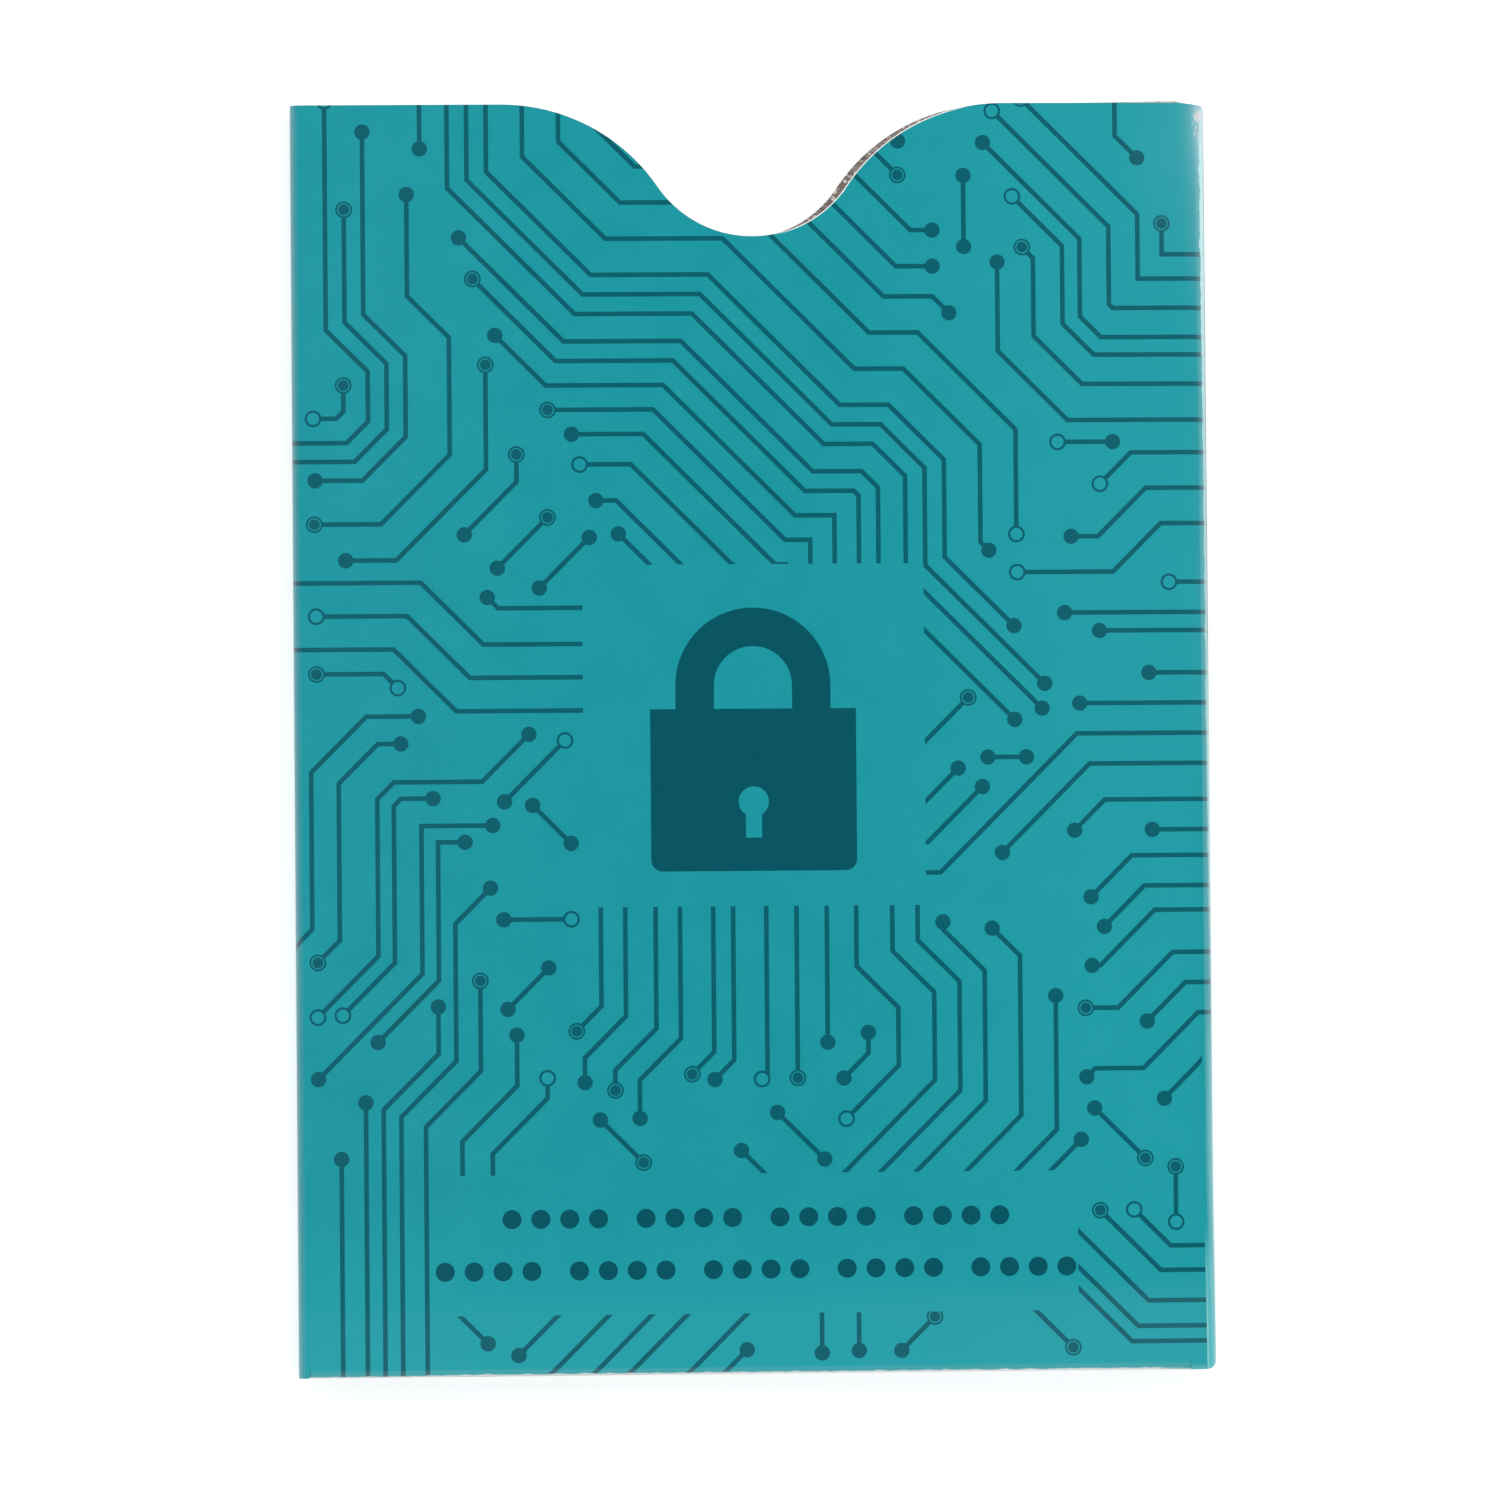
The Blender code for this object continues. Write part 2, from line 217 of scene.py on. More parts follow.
def folded(u, v, depth):
    """Place in the folded cover of a point of the flat blank, at a depth below its printed face."""
    if u < LEFT_FOLD_END:
        return LEFT_CREASE + LEFT_FOLD_END - u, v, depth
    if u < LEFT_CREASE:
        reach, height = fold_section(LEFT_CREASE - u, depth, LEFT_LENGTHS, CREASE_RADIUS, 0)
        return LEFT_CREASE - reach, v, height
    if u > RIGHT_FOLD_END:
        return RIGHT_CREASE - (u - RIGHT_FOLD_END), v, FLAP_BASE + depth
    if u > RIGHT_CREASE:
        reach, height = right_section(u - RIGHT_CREASE, v, depth)
        return RIGHT_CREASE + reach, v, height
    if v < FOOT_FOLD_END:
        return u, FOOT_CREASE + FOOT_FOLD_END - v, FLAP_BASE + depth
    if v < FOOT_CREASE:
        reach, height = fold_section(FOOT_CREASE - v, depth, FOOT_LENGTHS, CREASE_RADIUS, FLAP_BASE)
        return u, FOOT_CREASE - reach, height
    return u, v, FRONT_TOP - depth + front_bow(u, v)


# Outline of the flat blank

def notch_drop(across):
    across = abs(across)
    if across >= NOTCH_HALF_WIDTH:
        return 0
    if across > NOTCH_FLOOR_REACH:
        reach = NOTCH_HALF_WIDTH - across
        return NOTCH_SHOULDER_RADIUS - math.sqrt(NOTCH_SHOULDER_RADIUS**2 - reach**2)
    return NOTCH_DEPTH - NOTCH_FLOOR_RADIUS + math.sqrt(NOTCH_FLOOR_RADIUS**2 - across**2)


NOTCH_TURNS = 24


def notch_places():
    """Places across the notch, from left to right, at even turns along its arcs."""
    angles = [NOTCH_ANGLE * turn / NOTCH_TURNS for turn in range(NOTCH_TURNS)]
    floor = [NOTCH_FLOOR_RADIUS * math.sin(angle) for angle in angles]
    shoulder = [NOTCH_HALF_WIDTH - NOTCH_SHOULDER_RADIUS * math.sin(angle) for angle in angles]
    half = sorted(floor + shoulder + [NOTCH_FLOOR_REACH])
    return [-across for across in reversed(half[1:])] + half


def fold_runs(lengths, arc_steps, wall_steps):
    """Runs from the front panel at which a fold is cut into flat facets."""
    runs = [0.0]
    for length, steps in zip(lengths, (1, arc_steps, wall_steps, arc_steps, 1)):
        start = runs[-1]
        runs += [start + length * (step + 1) / steps for step in range(steps)]
    return runs


LEFT_RUNS = fold_runs(LEFT_LENGTHS, 6, 2)
RIGHT_RUNS = fold_runs(RIGHT_LENGTHS, 12, 1)
FOOT_RUNS = fold_runs(FOOT_LENGTHS, 6, 2)


def corner_cut(u, v, radius):
    """How far an end of the right fold draws back."""
    across = folded(u, v, 0)[0]
    share = min(max((across - RIGHT) / radius + 1, 0), 1)
    return radius * (1 - math.sqrt(1 - share**2))


def blank_outline():
    """Corners of the flat blank, anticlockwise from where the bottom fold meets the left one."""
    right_slit = RIGHT_CREASE - SLIT
    flap_end = FOOT_FOLD_END - BOTTOM_FLAP_WIDTH
    outline = [
        (LEFT_CREASE + SLIT, FOOT_CREASE),
        (LEFT_CREASE + SLIT, FOOT_FOLD_END),
        (LEFT_CREASE + FLAP_CLEARANCE, FOOT_FOLD_END),
        (LEFT_CREASE + FLAP_CLEARANCE + BOTTOM_FLAP_TAPER, flap_end),
        (right_slit - FLAP_CLEARANCE - BOTTOM_FLAP_WIDTH, flap_end),
        (right_slit - FLAP_CLEARANCE, FOOT_FOLD_END),
        (right_slit, FOOT_FOLD_END),
        (right_slit, FOOT_CREASE),
        (RIGHT_CREASE, FOOT_CREASE),
    ]
    columns = [RIGHT_CREASE + run for run in RIGHT_RUNS]
    outline += [(u, FOOT + corner_cut(u, FOOT, RIGHT_FOLD_FOOT_CORNER)) for u in columns]
    flap_foot = FOOT_CREASE + SLIT + FLAP_CLEARANCE
    flap_mouth = MOUTH + SIDE_FLAP_OVERHANG
    outline += [
        (RIGHT_FOLD_END, flap_foot),
        (SIDE_FLAP_END, flap_foot + SIDE_FLAP_WIDTH),
        (SIDE_FLAP_END, flap_mouth - SIDE_FLAP_TAPER),
    ]
    for u in reversed(columns):
        share = (u - RIGHT_CREASE) / (RIGHT_FOLD_END - RIGHT_CREASE)
        rise = SIDE_FLAP_OVERHANG * share**2 - MOUTH_SINK * math.sin(math.pi * share)
        outline.append((u, MOUTH + rise - corner_cut(u, MOUTH, RIGHT_FOLD_MOUTH_CORNER)))
    outline += [(across * NOTCH_STRETCH + NOTCH_SHIFT, MOUTH - notch_drop(across))
                for across in reversed(notch_places())]
    outline += [(LEFT_CREASE, MOUTH), (LEFT_FOLD_END, MOUTH)]
    back_start = LEFT_CREASE + LEFT_FOLD_END
    for across in notch_places():
        u = back_start - (across - BACK_NOTCH_SHIFT)
        rise = BACK_MOUTH_OVERHANG * (LEFT_FOLD_END - u) / (LEFT_FOLD_END - BACK_END)
        outline.append((u, MOUTH + rise - notch_drop(across)))
    outline += [
        (BACK_END, MOUTH + BACK_MOUTH_OVERHANG),
        (BACK_END, FOOT - BACK_FOOT_REACH),
        (LEFT_FOLD_END, FOOT),
        (LEFT_CREASE, FOOT),
        (LEFT_CREASE, FOOT_CREASE),
    ]
    return outline


def fold_lines():
    """Lines across the flat blank that let it bend: along its folds, and a grid over what bows."""
    low, high = FOOT - LINE_REACH, MOUTH + LINE_REACH
    upright = [LEFT_CREASE - run for run in LEFT_RUNS] + [RIGHT_CREASE + run for run in RIGHT_RUNS]
    lines = [((u, low), (u, high)) for u in upright]
    for column in range(1, GRID_COLUMNS):
        u = between(LEFT_CREASE, RIGHT_CREASE, column / GRID_COLUMNS)
        lines.append(((u, FOOT_CREASE), (u, high)))
    for row in range(GRID_ROWS):
        v = between(FOOT_CREASE, MOUTH, row / GRID_ROWS)
        lines.append(((LEFT_FOLD_END, v), (RIGHT_FOLD_END, v)))
    for run in FOOT_RUNS[1:]:
        v = FOOT_CREASE - run
        lines.append(((LEFT_CREASE + SLIT, v), (RIGHT_CREASE - SLIT, v)))
    return lines


# Print: traces in nested runs

SEED = 5
HEADINGS = {"E": 0, "NE": 45, "N": 90, "NW": 135, "W": 180, "SW": 225, "S": 270, "SE": 315}
SAMPLE = 0.4
CELL = 4.0
PAD_GAP = 0.5
SHORTEST_LEG = 0.2
SAME_PLACE = 0.05
LEVEL = 0.01
STRAIGHT = 1e-6

# Traces run on this far past the blank's edges, and down to here past the bottom flap
PRINT_REACH = 2
PRINT_FOOT = -86

# Runs: room around a trace, the shortest kept, how far its ends draw back at most, how the pitch varies, and
# twice the place across which the back's runs are turned about
RUN_GAP = 1.1
SHORTEST_RUN = 7.0
STAGGER = 13.0
PITCH_SHARES = (0.6, 1.0, 1.0, 1.4)
BACK_TURN = -98.9

# Echoes beside the traces: the shortest kept in each round, room, pitches and stagger
ECHO_ROUNDS = (9.0, 6.0)
ECHO_GAP = 2.15
ECHO_PITCHES = (2.5, 3.1, 3.7)
ECHO_STAGGER = 8.0

# Short traces in the gaps: tries, room, lengths, the shortest kept, the lowest start, and the bare margin
FILL_TRIES = 2500
FILL_GAP = 2.0
FILL_LENGTHS = (5, 11)
FILL_SHORTEST = 4.2
FILL_FOOT = -84
FILL_MARGIN = 1.2

# Each run: start, headings with lengths, how many traces, their pitch, and the side they are added on
RUNS = (
    ((-62, 22), "E24 NE10 N12 NW6 N20", 5, 3.2, 1),
    ((-62, 16), "E28 SE9 E20", 3, 3.4, -1),
    ((-27, 72), "S14 SE15 E12 SE19 E5 SE8 S10 SE20", 5, 2.0, -1),
    ((-19, 8), "W6 SW8 W9 SW8 S16 SW20", 6, 2.8, 1),
    ((16, -14), "E3 NE20 E36", 5, 3.1, 1),
    ((70, 36), "W36 NW7 N8 NW14", 5, 3.0, -1),
    ((24, 24), "E10 NE7 E40", 3, 2.6, -1),
    ((-42.5, -88), "N52 NE8 N14 NE12", 4, 1.8, -1),
    ((-12, -42), "N7 NE6 N22", 4, 3.4, -1),
    ((14, -16), "S6 SE6 S9 SW20", 5, 2.6, 1),
    ((70, -18), "W29 SW8 W5 SW18", 4, 3.1, 1),
    ((-44, -92), "NE55", 9, 4.3, -1),
    ((70, -58), "W30 NW14", 4, 2.6, 1),
    ((34, 72), "S12 SE8 S6", 3, 3.6, 1),
)


def walk(start, steps):
    """Corners of a path given by headings with lengths."""
    path = [start]
    for step in steps.split():
        heading = step.rstrip("0123456789.")
        angle = math.radians(HEADINGS[heading])
        path.append(around(path[-1], float(step[len(heading):]), angle))
    return path


def beside(path, distance):
    """The path moved to its left, without the legs that have no room, or None if nothing is left."""
    legs = []
    for start, end in zip(path, path[1:]):
        length = math.dist(start, end)
        along = tuple(part / length for part in apart(start, end))
        across = (-along[1], along[0])
        legs.append((moved(start, across, distance), along, moved(end, across, distance)))
    while legs:
        corners = [legs[0][0]]
        for (start, along, _), (other, onward, _) in zip(legs, legs[1:]):
            turn = cross(along, onward)
            if abs(turn) < STRAIGHT:
                return None
            corners.append(moved(start, along, cross(apart(start, other), onward) / turn))
        corners.append(legs[-1][2])
        short = [leg for leg, (start, end) in enumerate(zip(corners, corners[1:]))
                 if dot(apart(start, end), legs[leg][1]) < SHORTEST_LEG]
        if not short:
            return corners
        legs.pop(short[0])
    return None


def sampled(path):
    """Points at even steps along the path, each with the number of its leg."""
    points = []
    for leg, (start, end) in enumerate(zip(path, path[1:])):
        steps = max(1, round(math.dist(start, end) / SAMPLE))
        points += [(leg, tuple(between(*ends, step / steps) for ends in zip(start, end)))
                   for step in range(steps)]
    return points + [(len(path) - 2, path[-1])]


def left_bare(point, margin):
    return any(low_u + margin < point[0] < high_u - margin and low_v + margin < point[1] < high_v - margin
               for low_u, low_v, high_u, high_v in (WINDOW, FIELD))


def on_side_fold(point, margin):
    """Whether a point of the blank lies on the left or right fold, or nearer to it than the margin."""
    return (LEFT_FOLD_END - margin < point[0] < LEFT_CREASE + margin
            or RIGHT_CREASE - margin < point[0] < RIGHT_FOLD_END + margin)


def on_foot_fold(point, margin):
    return FOOT_FOLD_END - margin < point[1] < FOOT_CREASE + margin


def along_fold(point, start, end):
    """Whether a leg from start to end runs along the fold that the point lies on."""
    if on_foot_fold(point, LINE_WIDTH):
        return abs(end[1] - start[1]) < LEVEL
    return on_side_fold(point, LINE_WIDTH) and abs(end[0] - start[0]) < LEVEL


def off_blank(point):
    return not (BACK_END - PRINT_REACH < point[0] < SIDE_FLAP_END + PRINT_REACH
                and PRINT_FOOT < point[1] < MOUTH + PRINT_REACH)


def cell_of(point):
    return int(point[0] // CELL), int(point[1] // CELL)


class TraceSheet:
    """Traces and pads laid so far, and the room between them."""

    def __init__(self, seed):
        self.random = random.Random(seed)
        self.cells = {}
        self.traces = []
        self.pads = []

    def room(self, point):
        """Distance from a point to the nearest ink, as far as one cell."""
        column, row = cell_of(point)
        nearest = CELL
        for cell in ((column + i, row + j) for i in (-1, 0, 1) for j in (-1, 0, 1)):
            for place, reach in self.cells.get(cell, ()):
                nearest = min(nearest, math.dist(point, place) - reach)
        return nearest

    def mark(self, point, reach):
        self.cells.setdefault(cell_of(point), []).append((point, reach))

    def free_stretches(self, path, gap):
        """Stretches of the path with room around them, and whether each end runs off the printed ground."""
        stretches, stretch = [], []
        opened, before = False, None
        for leg, point in sampled(path):
            off = off_blank(point) or left_bare(point, LINE_WIDTH)
            bent = along_fold(point, path[leg], path[leg + 1])
            if off or bent or self.room(point) < gap - LINE_WIDTH / 2:
                if stretch:
                    stretches.append((stretch + [(leg, point)] * off, opened, off))
                stretch, opened, before = [], off, (leg, point)
                continue
            if not stretch and opened:
                stretch.append(before)
            stretch.append((leg, point))
        if stretch:
            stretches.append((stretch, opened, False))
        return stretches

    def pad_fits(self, point):
        return (self.room(point) >= RING_RADIUS + PAD_GAP and not on_side_fold(point, RING_RADIUS)
                and not on_foot_fold(point, RING_RADIUS))

    def trimmed(self, stretch, stagger):
        """The stretch cut back at its start until a pad has room there."""
        stretch = stretch[int(self.random.random() * stagger / SAMPLE):]
        while stretch and not self.pad_fits(stretch[0][1]):
            stretch = stretch[1:]
        return stretch

    def lay(self, path, gap, shortest, stagger=0.0):
        """Lays what has room of a path, with a pad at each end that stays on the printed ground."""
        if path is None:
            return
        for stretch, open_start, open_end in self.free_stretches(path, gap):
            if not open_start:
                stretch = self.trimmed(stretch, stagger)
            if not open_end:
                stretch = self.trimmed(stretch[::-1], stagger)[::-1]
            if len(stretch) * SAMPLE < shortest:
                continue
            corners = [stretch[0][1]]
            corners += [path[leg] for (before, _), (leg, _) in zip(stretch, stretch[1:]) if leg > before]
            corners.append(stretch[-1][1])
            corners = [corner for index, corner in enumerate(corners)
                       if index == 0 or math.dist(corner, corners[index - 1]) > SAME_PLACE]
            if len(corners) > 1:
                self.keep(corners, stretch, open_start, open_end)

    def keep(self, corners, stretch, open_start, open_end):
        self.traces.append(corners)
        for _, point in stretch:
            self.mark(point, LINE_WIDTH / 2)
        for place, runs_off in ((corners[0], open_start), (corners[-1], open_end)):
            if not runs_off:
                self.pads.append((place, self.random.choice(PADS)))
                self.mark(place, RING_RADIUS)


def lay_traces():
    """Runs on the front and, half turned, on the back, then their echoes, then short traces in the gaps."""
    sheet = TraceSheet(SEED)
    draw = sheet.random
    for turned in (False, True):
        for start, steps, members, pitch, side in RUNS:
            leader = walk(start, steps)
            if turned:
                leader = [(BACK_TURN - u, -v) for u, v in leader]
            distance = 0
            for _ in range(members):
                sheet.lay(beside(leader, side * distance), RUN_GAP, SHORTEST_RUN, STAGGER)
                distance += pitch * draw.choice(PITCH_SHARES)
    for shortest in ECHO_ROUNDS:
        for trace in sheet.traces:
            for side in (-1, 1):
                pitch = draw.choice(ECHO_PITCHES)
                sheet.lay(beside(trace, side * pitch), ECHO_GAP, shortest, ECHO_STAGGER)
    for _ in range(FILL_TRIES):
        start = (draw.uniform(BACK_END, SIDE_FLAP_END), draw.uniform(FILL_FOOT, MOUTH))
        heading = draw.choice(sorted(HEADINGS))
        if not left_bare(start, -FILL_MARGIN) and sheet.room(start) > FILL_GAP:
            steps = f"{heading}{draw.uniform(*FILL_LENGTHS):.1f}"
            sheet.lay(walk(start, steps), FILL_GAP, FILL_SHORTEST)
    return sheet


def disc(middle, radius, sides):
    return [around(middle, radius, 2 * math.pi * side / sides) for side in range(sides)]


def rectangle(low_u, low_v, high_u, high_v):
    return [(low_u, low_v), (high_u, low_v), (high_u, high_v), (low_u, high_v)]


def arc(middle, radius, start, end, steps):
    return [around(middle, radius, math.radians(between(start, end, step / steps)))
            for step in range(steps + 1)]


# Padlock figure
LOCK_MIDDLE = -0.1
LOCK_HALF_WIDTH = 10.55
LOCK_TOP = 2.9
LOCK_BOTTOM = -13.7
LOCK_CORNER = 1.2
SHACKLE_CENTRE = 5.3
SHACKLE_RADIUS = 7.95
SHACKLE_INNER_RADIUS = 4.0
KEYHOLE_HEIGHT = -6.6
KEYHOLE_RADIUS = 1.55
KEYHOLE_HALF_SLOT = 0.83
KEYHOLE_BOTTOM = -10.3
SHACKLE_OVERLAP = 0.5
SHACKLE_STEPS, OPENING_STEPS, CORNER_STEPS, EYE_SIDES = 48, 32, 8, 36


def arch(radius, foot, steps):
    """Half disc of the shackle with straight sides down to its foot."""
    sides = [(LOCK_MIDDLE - radius, foot), (LOCK_MIDDLE + radius, foot)]
    return sides + arc((LOCK_MIDDLE, SHACKLE_CENTRE), radius, 0, 180, steps)


def padlock_shapes():
    left, right = LOCK_MIDDLE - LOCK_HALF_WIDTH, LOCK_MIDDLE + LOCK_HALF_WIDTH
    shackle = arch(SHACKLE_RADIUS, LOCK_TOP - SHACKLE_OVERLAP, SHACKLE_STEPS)
    opening = arch(SHACKLE_INNER_RADIUS, LOCK_TOP, OPENING_STEPS)
    foot = LOCK_BOTTOM + LOCK_CORNER
    body = [(right, LOCK_TOP), (left, LOCK_TOP)]
    body += arc((left + LOCK_CORNER, foot), LOCK_CORNER, 180, 270, CORNER_STEPS)
    body += arc((right - LOCK_CORNER, foot), LOCK_CORNER, 270, 360, CORNER_STEPS)
    slot = rectangle(LOCK_MIDDLE - KEYHOLE_HALF_SLOT, KEYHOLE_BOTTOM,
                     LOCK_MIDDLE + KEYHOLE_HALF_SLOT, KEYHOLE_HEIGHT)
    eye = disc((LOCK_MIDDLE, KEYHOLE_HEIGHT), KEYHOLE_RADIUS, EYE_SIDES)
    return [(FIGURE_INK, shackle), (GROUND, opening), (FIGURE_INK, body), (GROUND, slot), (GROUND, eye)]


# Rows of dots below the figure: number of groups, and height
DOT_ROWS = ((4, -49.1), (5, -54.4))
GROUP_DOTS = 4
FIELD_MIDDLE = -0.2
FIELD_DOT_RADIUS = 0.98
FIELD_DOT_SIDES = 28
FIELD_DOT_PITCH = 2.95
FIELD_GROUP_GAP = 1.9


def field_dots():
    shapes = []
    for groups, v in DOT_ROWS:
        width = (groups * GROUP_DOTS - 1) * FIELD_DOT_PITCH + (groups - 1) * FIELD_GROUP_GAP
        for place in range(groups * GROUP_DOTS):
            u = place * FIELD_DOT_PITCH + place // GROUP_DOTS * FIELD_GROUP_GAP - width / 2
            shapes.append((FIGURE_INK, disc((u + FIELD_MIDDLE, v), FIELD_DOT_RADIUS, FIELD_DOT_SIDES)))
    return shapes


def print_shapes():
    """Everything printed, as pairs of an ink and an outline, each painted over those before it."""
    sheet = lay_traces()
    shapes = []
    for trace in sheet.traces:
        left_side, right_side = beside(trace, LINE_WIDTH / 2), beside(trace, -LINE_WIDTH / 2)
        if left_side and right_side:
            shapes.append((TRACE_INK, right_side + left_side[::-1]))
    for place, discs in sheet.pads:
        shapes += [(ink, disc(place, radius, sides)) for ink, radius, sides in discs]
    shapes += [(GROUND, rectangle(*part)) for part in (WINDOW, FIELD, BARE_FOLD)]
    return shapes + padlock_shapes() + field_dots()


# Sheets

CUT_TOLERANCE = 1e-4


def cut_sheet(outline, lines, shapes):
    """Flat triangles of the outline, cut along the lines and around the shapes, and the ink of each."""
    points, edges, faces = [], [], []
    for corners in [outline] + [corners for _, corners in shapes]:
        first = len(points)
        points += [Vector(corner) for corner in corners]
        faces.append(list(range(first, len(points))))
    for start, end in lines:
        edges.append((len(points), len(points) + 1))
        points += [Vector(start), Vector(end)]
    found = delaunay_2d_cdt(points, edges, faces, 1, CUT_TOLERANCE, True)
    numbers, corners, triangles, inks = {}, [], [], []
    for triangle, sources in zip(found[2], found[5]):
        if 0 not in sources:
            continue
        for corner in triangle:
            if corner not in numbers:
                numbers[corner] = len(corners)
                corners.append(tuple(found[0][corner]))
        triangles.append(tuple(numbers[corner] for corner in triangle))
        top = max(sources)
        inks.append(shapes[top - 1][0] if top else GROUND)
    return corners, triangles, inks


def boundary_loop(triangles):
    """Corner numbers around the sheet's edge, anticlockwise."""
    edges = {edge for triangle in triangles for edge in zip(triangle, triangle[1:] + triangle[:1])}
    following = {start: end for start, end in edges if (end, start) not in edges}
    loop = [min(following)]
    while following[loop[-1]] != loop[0]:
        loop.append(following[loop[-1]])
    return loop


def outward(u, v):
    """Direction that the printed face looks in, once folded."""
    step = 0.01
    here = Vector(folded(u, v, 0))
    across = Vector(folded(u + step, v, 0)) - here
    along = Vector(folded(u, v + step, 0)) - here
    return across.cross(along).normalized()


def to_metres(point):
    return [part / 1000 for part in point]


def make_sheet(name, outer, inner, top_depth, bottom_depth, materials):
    """Closed sheet from two flat cuttings with the same edge, folded, with its rim between them."""
    corners, triangles, inks = outer
    under_corners, under_triangles, _ = inner
    top_loop, under_loop = boundary_loop(triangles), boundary_loop(under_triangles)
    if len(top_loop) != len(under_loop):
        raise ValueError(f"{name}: edges of {len(top_loop)} and {len(under_loop)} corners")
    start = min(range(len(under_loop)),
                key=lambda i: math.dist(corners[top_loop[0]], under_corners[under_loop[i]]))
    under_loop = under_loop[start:] + under_loop[:start]
    count = len(corners)
    places = [to_metres(folded(u, v, top_depth)) for u, v in corners]
    places += [to_metres(folded(u, v, bottom_depth)) for u, v in under_corners]
    flat = corners + under_corners
    faces = [list(triangle) for triangle in triangles]
    faces += [[count + corner for corner in reversed(triangle)] for triangle in under_triangles]
    rim_start = len(faces)
    rim = list(zip(top_loop, under_loop))
    for (top, under), (next_top, next_under) in zip(rim, rim[1:] + rim[:1]):
        faces.append([top, count + under, count + next_under, next_top])
    mesh = bpy.data.meshes.new(name)
    mesh.from_pydata(places, [], faces)
    sheet = bpy.data.objects.new(name, mesh)
    bpy.context.scene.collection.objects.link(sheet)
    for material in materials:
        mesh.materials.append(material)
    slots = [0] * len(triangles) + [1] * (len(faces) - len(triangles))
    mesh.polygons.foreach_set("material_index", slots)
    ink = mesh.attributes.new("ink", "FLOAT", "FACE")
    ink.data.foreach_set("value", inks + [GROUND] * (len(faces) - len(inks)))
    layer = mesh.uv_layers.new(name="blank")
    layer.uv.foreach_set("vector", [value for face in faces for corner in face for value in flat[corner]])
    set_normals(mesh, flat, faces, len(triangles), rim_start)
    return sheet


def set_normals(mesh, flat, faces, printed, rim_start):
    """Smooth normals on both faces of the sheet, from its folds, and flat ones on its rim."""
    mesh.shade_smooth()
    directions = [outward(u, v) for u, v in flat]
    normals = []
    for number, face in enumerate(faces):
        if number < rim_start:
            way = 1 if number < printed else -1
            normals += [way * directions[corner] for corner in face]
        else:
            normals += [mesh.polygons[number].normal.copy()] * len(face)
    mesh.normals_split_custom_set(normals)


# Materials

FLOAT, VECTOR = "NodeSocketFloat", "NodeSocketVector"


def new_material(name):
    material = bpy.data.materials.new(name)
    material.use_nodes = True
    return material, material.node_tree, material.node_tree.nodes["Principled BSDF"]


def add_node(tree, kind, values=(), **settings):
    """Shader node of a kind with its settings, and values for its inputs by name or number."""
    node = tree.nodes.new("ShaderNode" + kind)
    for setting, value in settings.items():
        setattr(node, setting, value)
    for socket, value in values:
        node.inputs[socket].default_value = value
    return node


def feed(socket, value):
    """Gives a socket another socket's value, a plain number, or plain red, green and blue."""
    if isinstance(value, (int, float)):
        socket.default_value = value
    elif isinstance(value, tuple):
        socket.default_value = (*value, 1.0)
    else:
        socket.id_data.links.new(value, socket)


def feed_inputs(node, **given):
    """Feeds a node's inputs by name, with an underscore for each space."""
    for label, value in given.items():
        feed(node.inputs[label.replace("_", " ")], value)


def add_math(operation, *values):
    """Node for an operation on one or two values, of which at least one is a socket."""
    tree = next(value.id_data for value in values if isinstance(value, bpy.types.NodeSocket))
    node = add_node(tree, "Math", operation=operation)
    for socket, value in zip(node.inputs, values):
        feed(socket, value)
    return node.outputs[0]


def add_step(value, low, high):
    """Smooth rise of a value from 0 at low to 1 at high, or the fall where high is the lower one."""
    ends = (("From Min", min(low, high)), ("From Max", max(low, high)),
            ("To Min", float(high < low)), ("To Max", float(high >= low)))
    node = add_node(value.id_data, "MapRange", ends, interpolation_type="SMOOTHSTEP")
    feed(node.inputs["Value"], value)
    return node.outputs["Result"]


def add_chain(operation, values):
    """Values joined in turn by one operation, where (value, low, high) stands for its smooth step."""
    joined = None
    for value in values:
        if isinstance(value, tuple):
            value = add_step(*value)
        joined = value if joined is None else add_math(operation, joined, value)
    return joined


def add_product(*values):
    return add_chain("MULTIPLY", values)


def add_sum(*values):
    return add_chain("ADD", values)


def add_largest(*values):
    return add_chain("MAXIMUM", values)


def add_mix(share, first, second, kind="RGBA", inputs=(0, 6, 7), output=2):
    """Colour between two colours, or what another kind of mix gives through its own sockets."""
    node = add_node(share.id_data, "Mix", data_type=kind)
    for socket, value in zip(inputs, (share, first, second)):
        feed(node.inputs[socket], value)
    return node.outputs[output]


def add_mix_value(share, first, second):
    """Value between two values."""
    return add_mix(share, first, second, "FLOAT", (0, 2, 3), 0)


def add_mapping(where, scale, place):
    """Coordinates scaled and then moved."""
    mapping = add_node(where.id_data, "Mapping", (("Scale", scale), ("Location", place)))
    feed(mapping.inputs["Vector"], where)
    return mapping.outputs["Vector"]


def add_noise(where, scale, detail, stretch=(1.0, 1.0, 1.0), place=(0.0, 0.0, 0.0)):
    noise = add_node(where.id_data, "TexNoise", (("Detail", detail),))
    feed_inputs(noise, Vector=add_mapping(where, stretch, place), Scale=scale)
    return noise.outputs["Fac"]


def add_distance(where, place):
    node = add_node(where.id_data, "VectorMath", ((1, (*place, 0.0)),), operation="DISTANCE")
    feed(node.inputs[0], where)
    return node.outputs["Value"]


def add_bump(height, distance, shader):
    bump = add_node(height.id_data, "Bump", (("Distance", distance),))
    feed(bump.inputs["Height"], height)
    feed(shader.inputs["Normal"], bump.outputs["Normal"])


def srgb(red, green, blue):
    """Linear colour of one given as 0 to 255."""
    return tuple((v / 12.92 if v <= 0.04045 else ((v + 0.055) / 1.055) ** 2.4)
                 for v in (red / 255, green / 255, blue / 255))


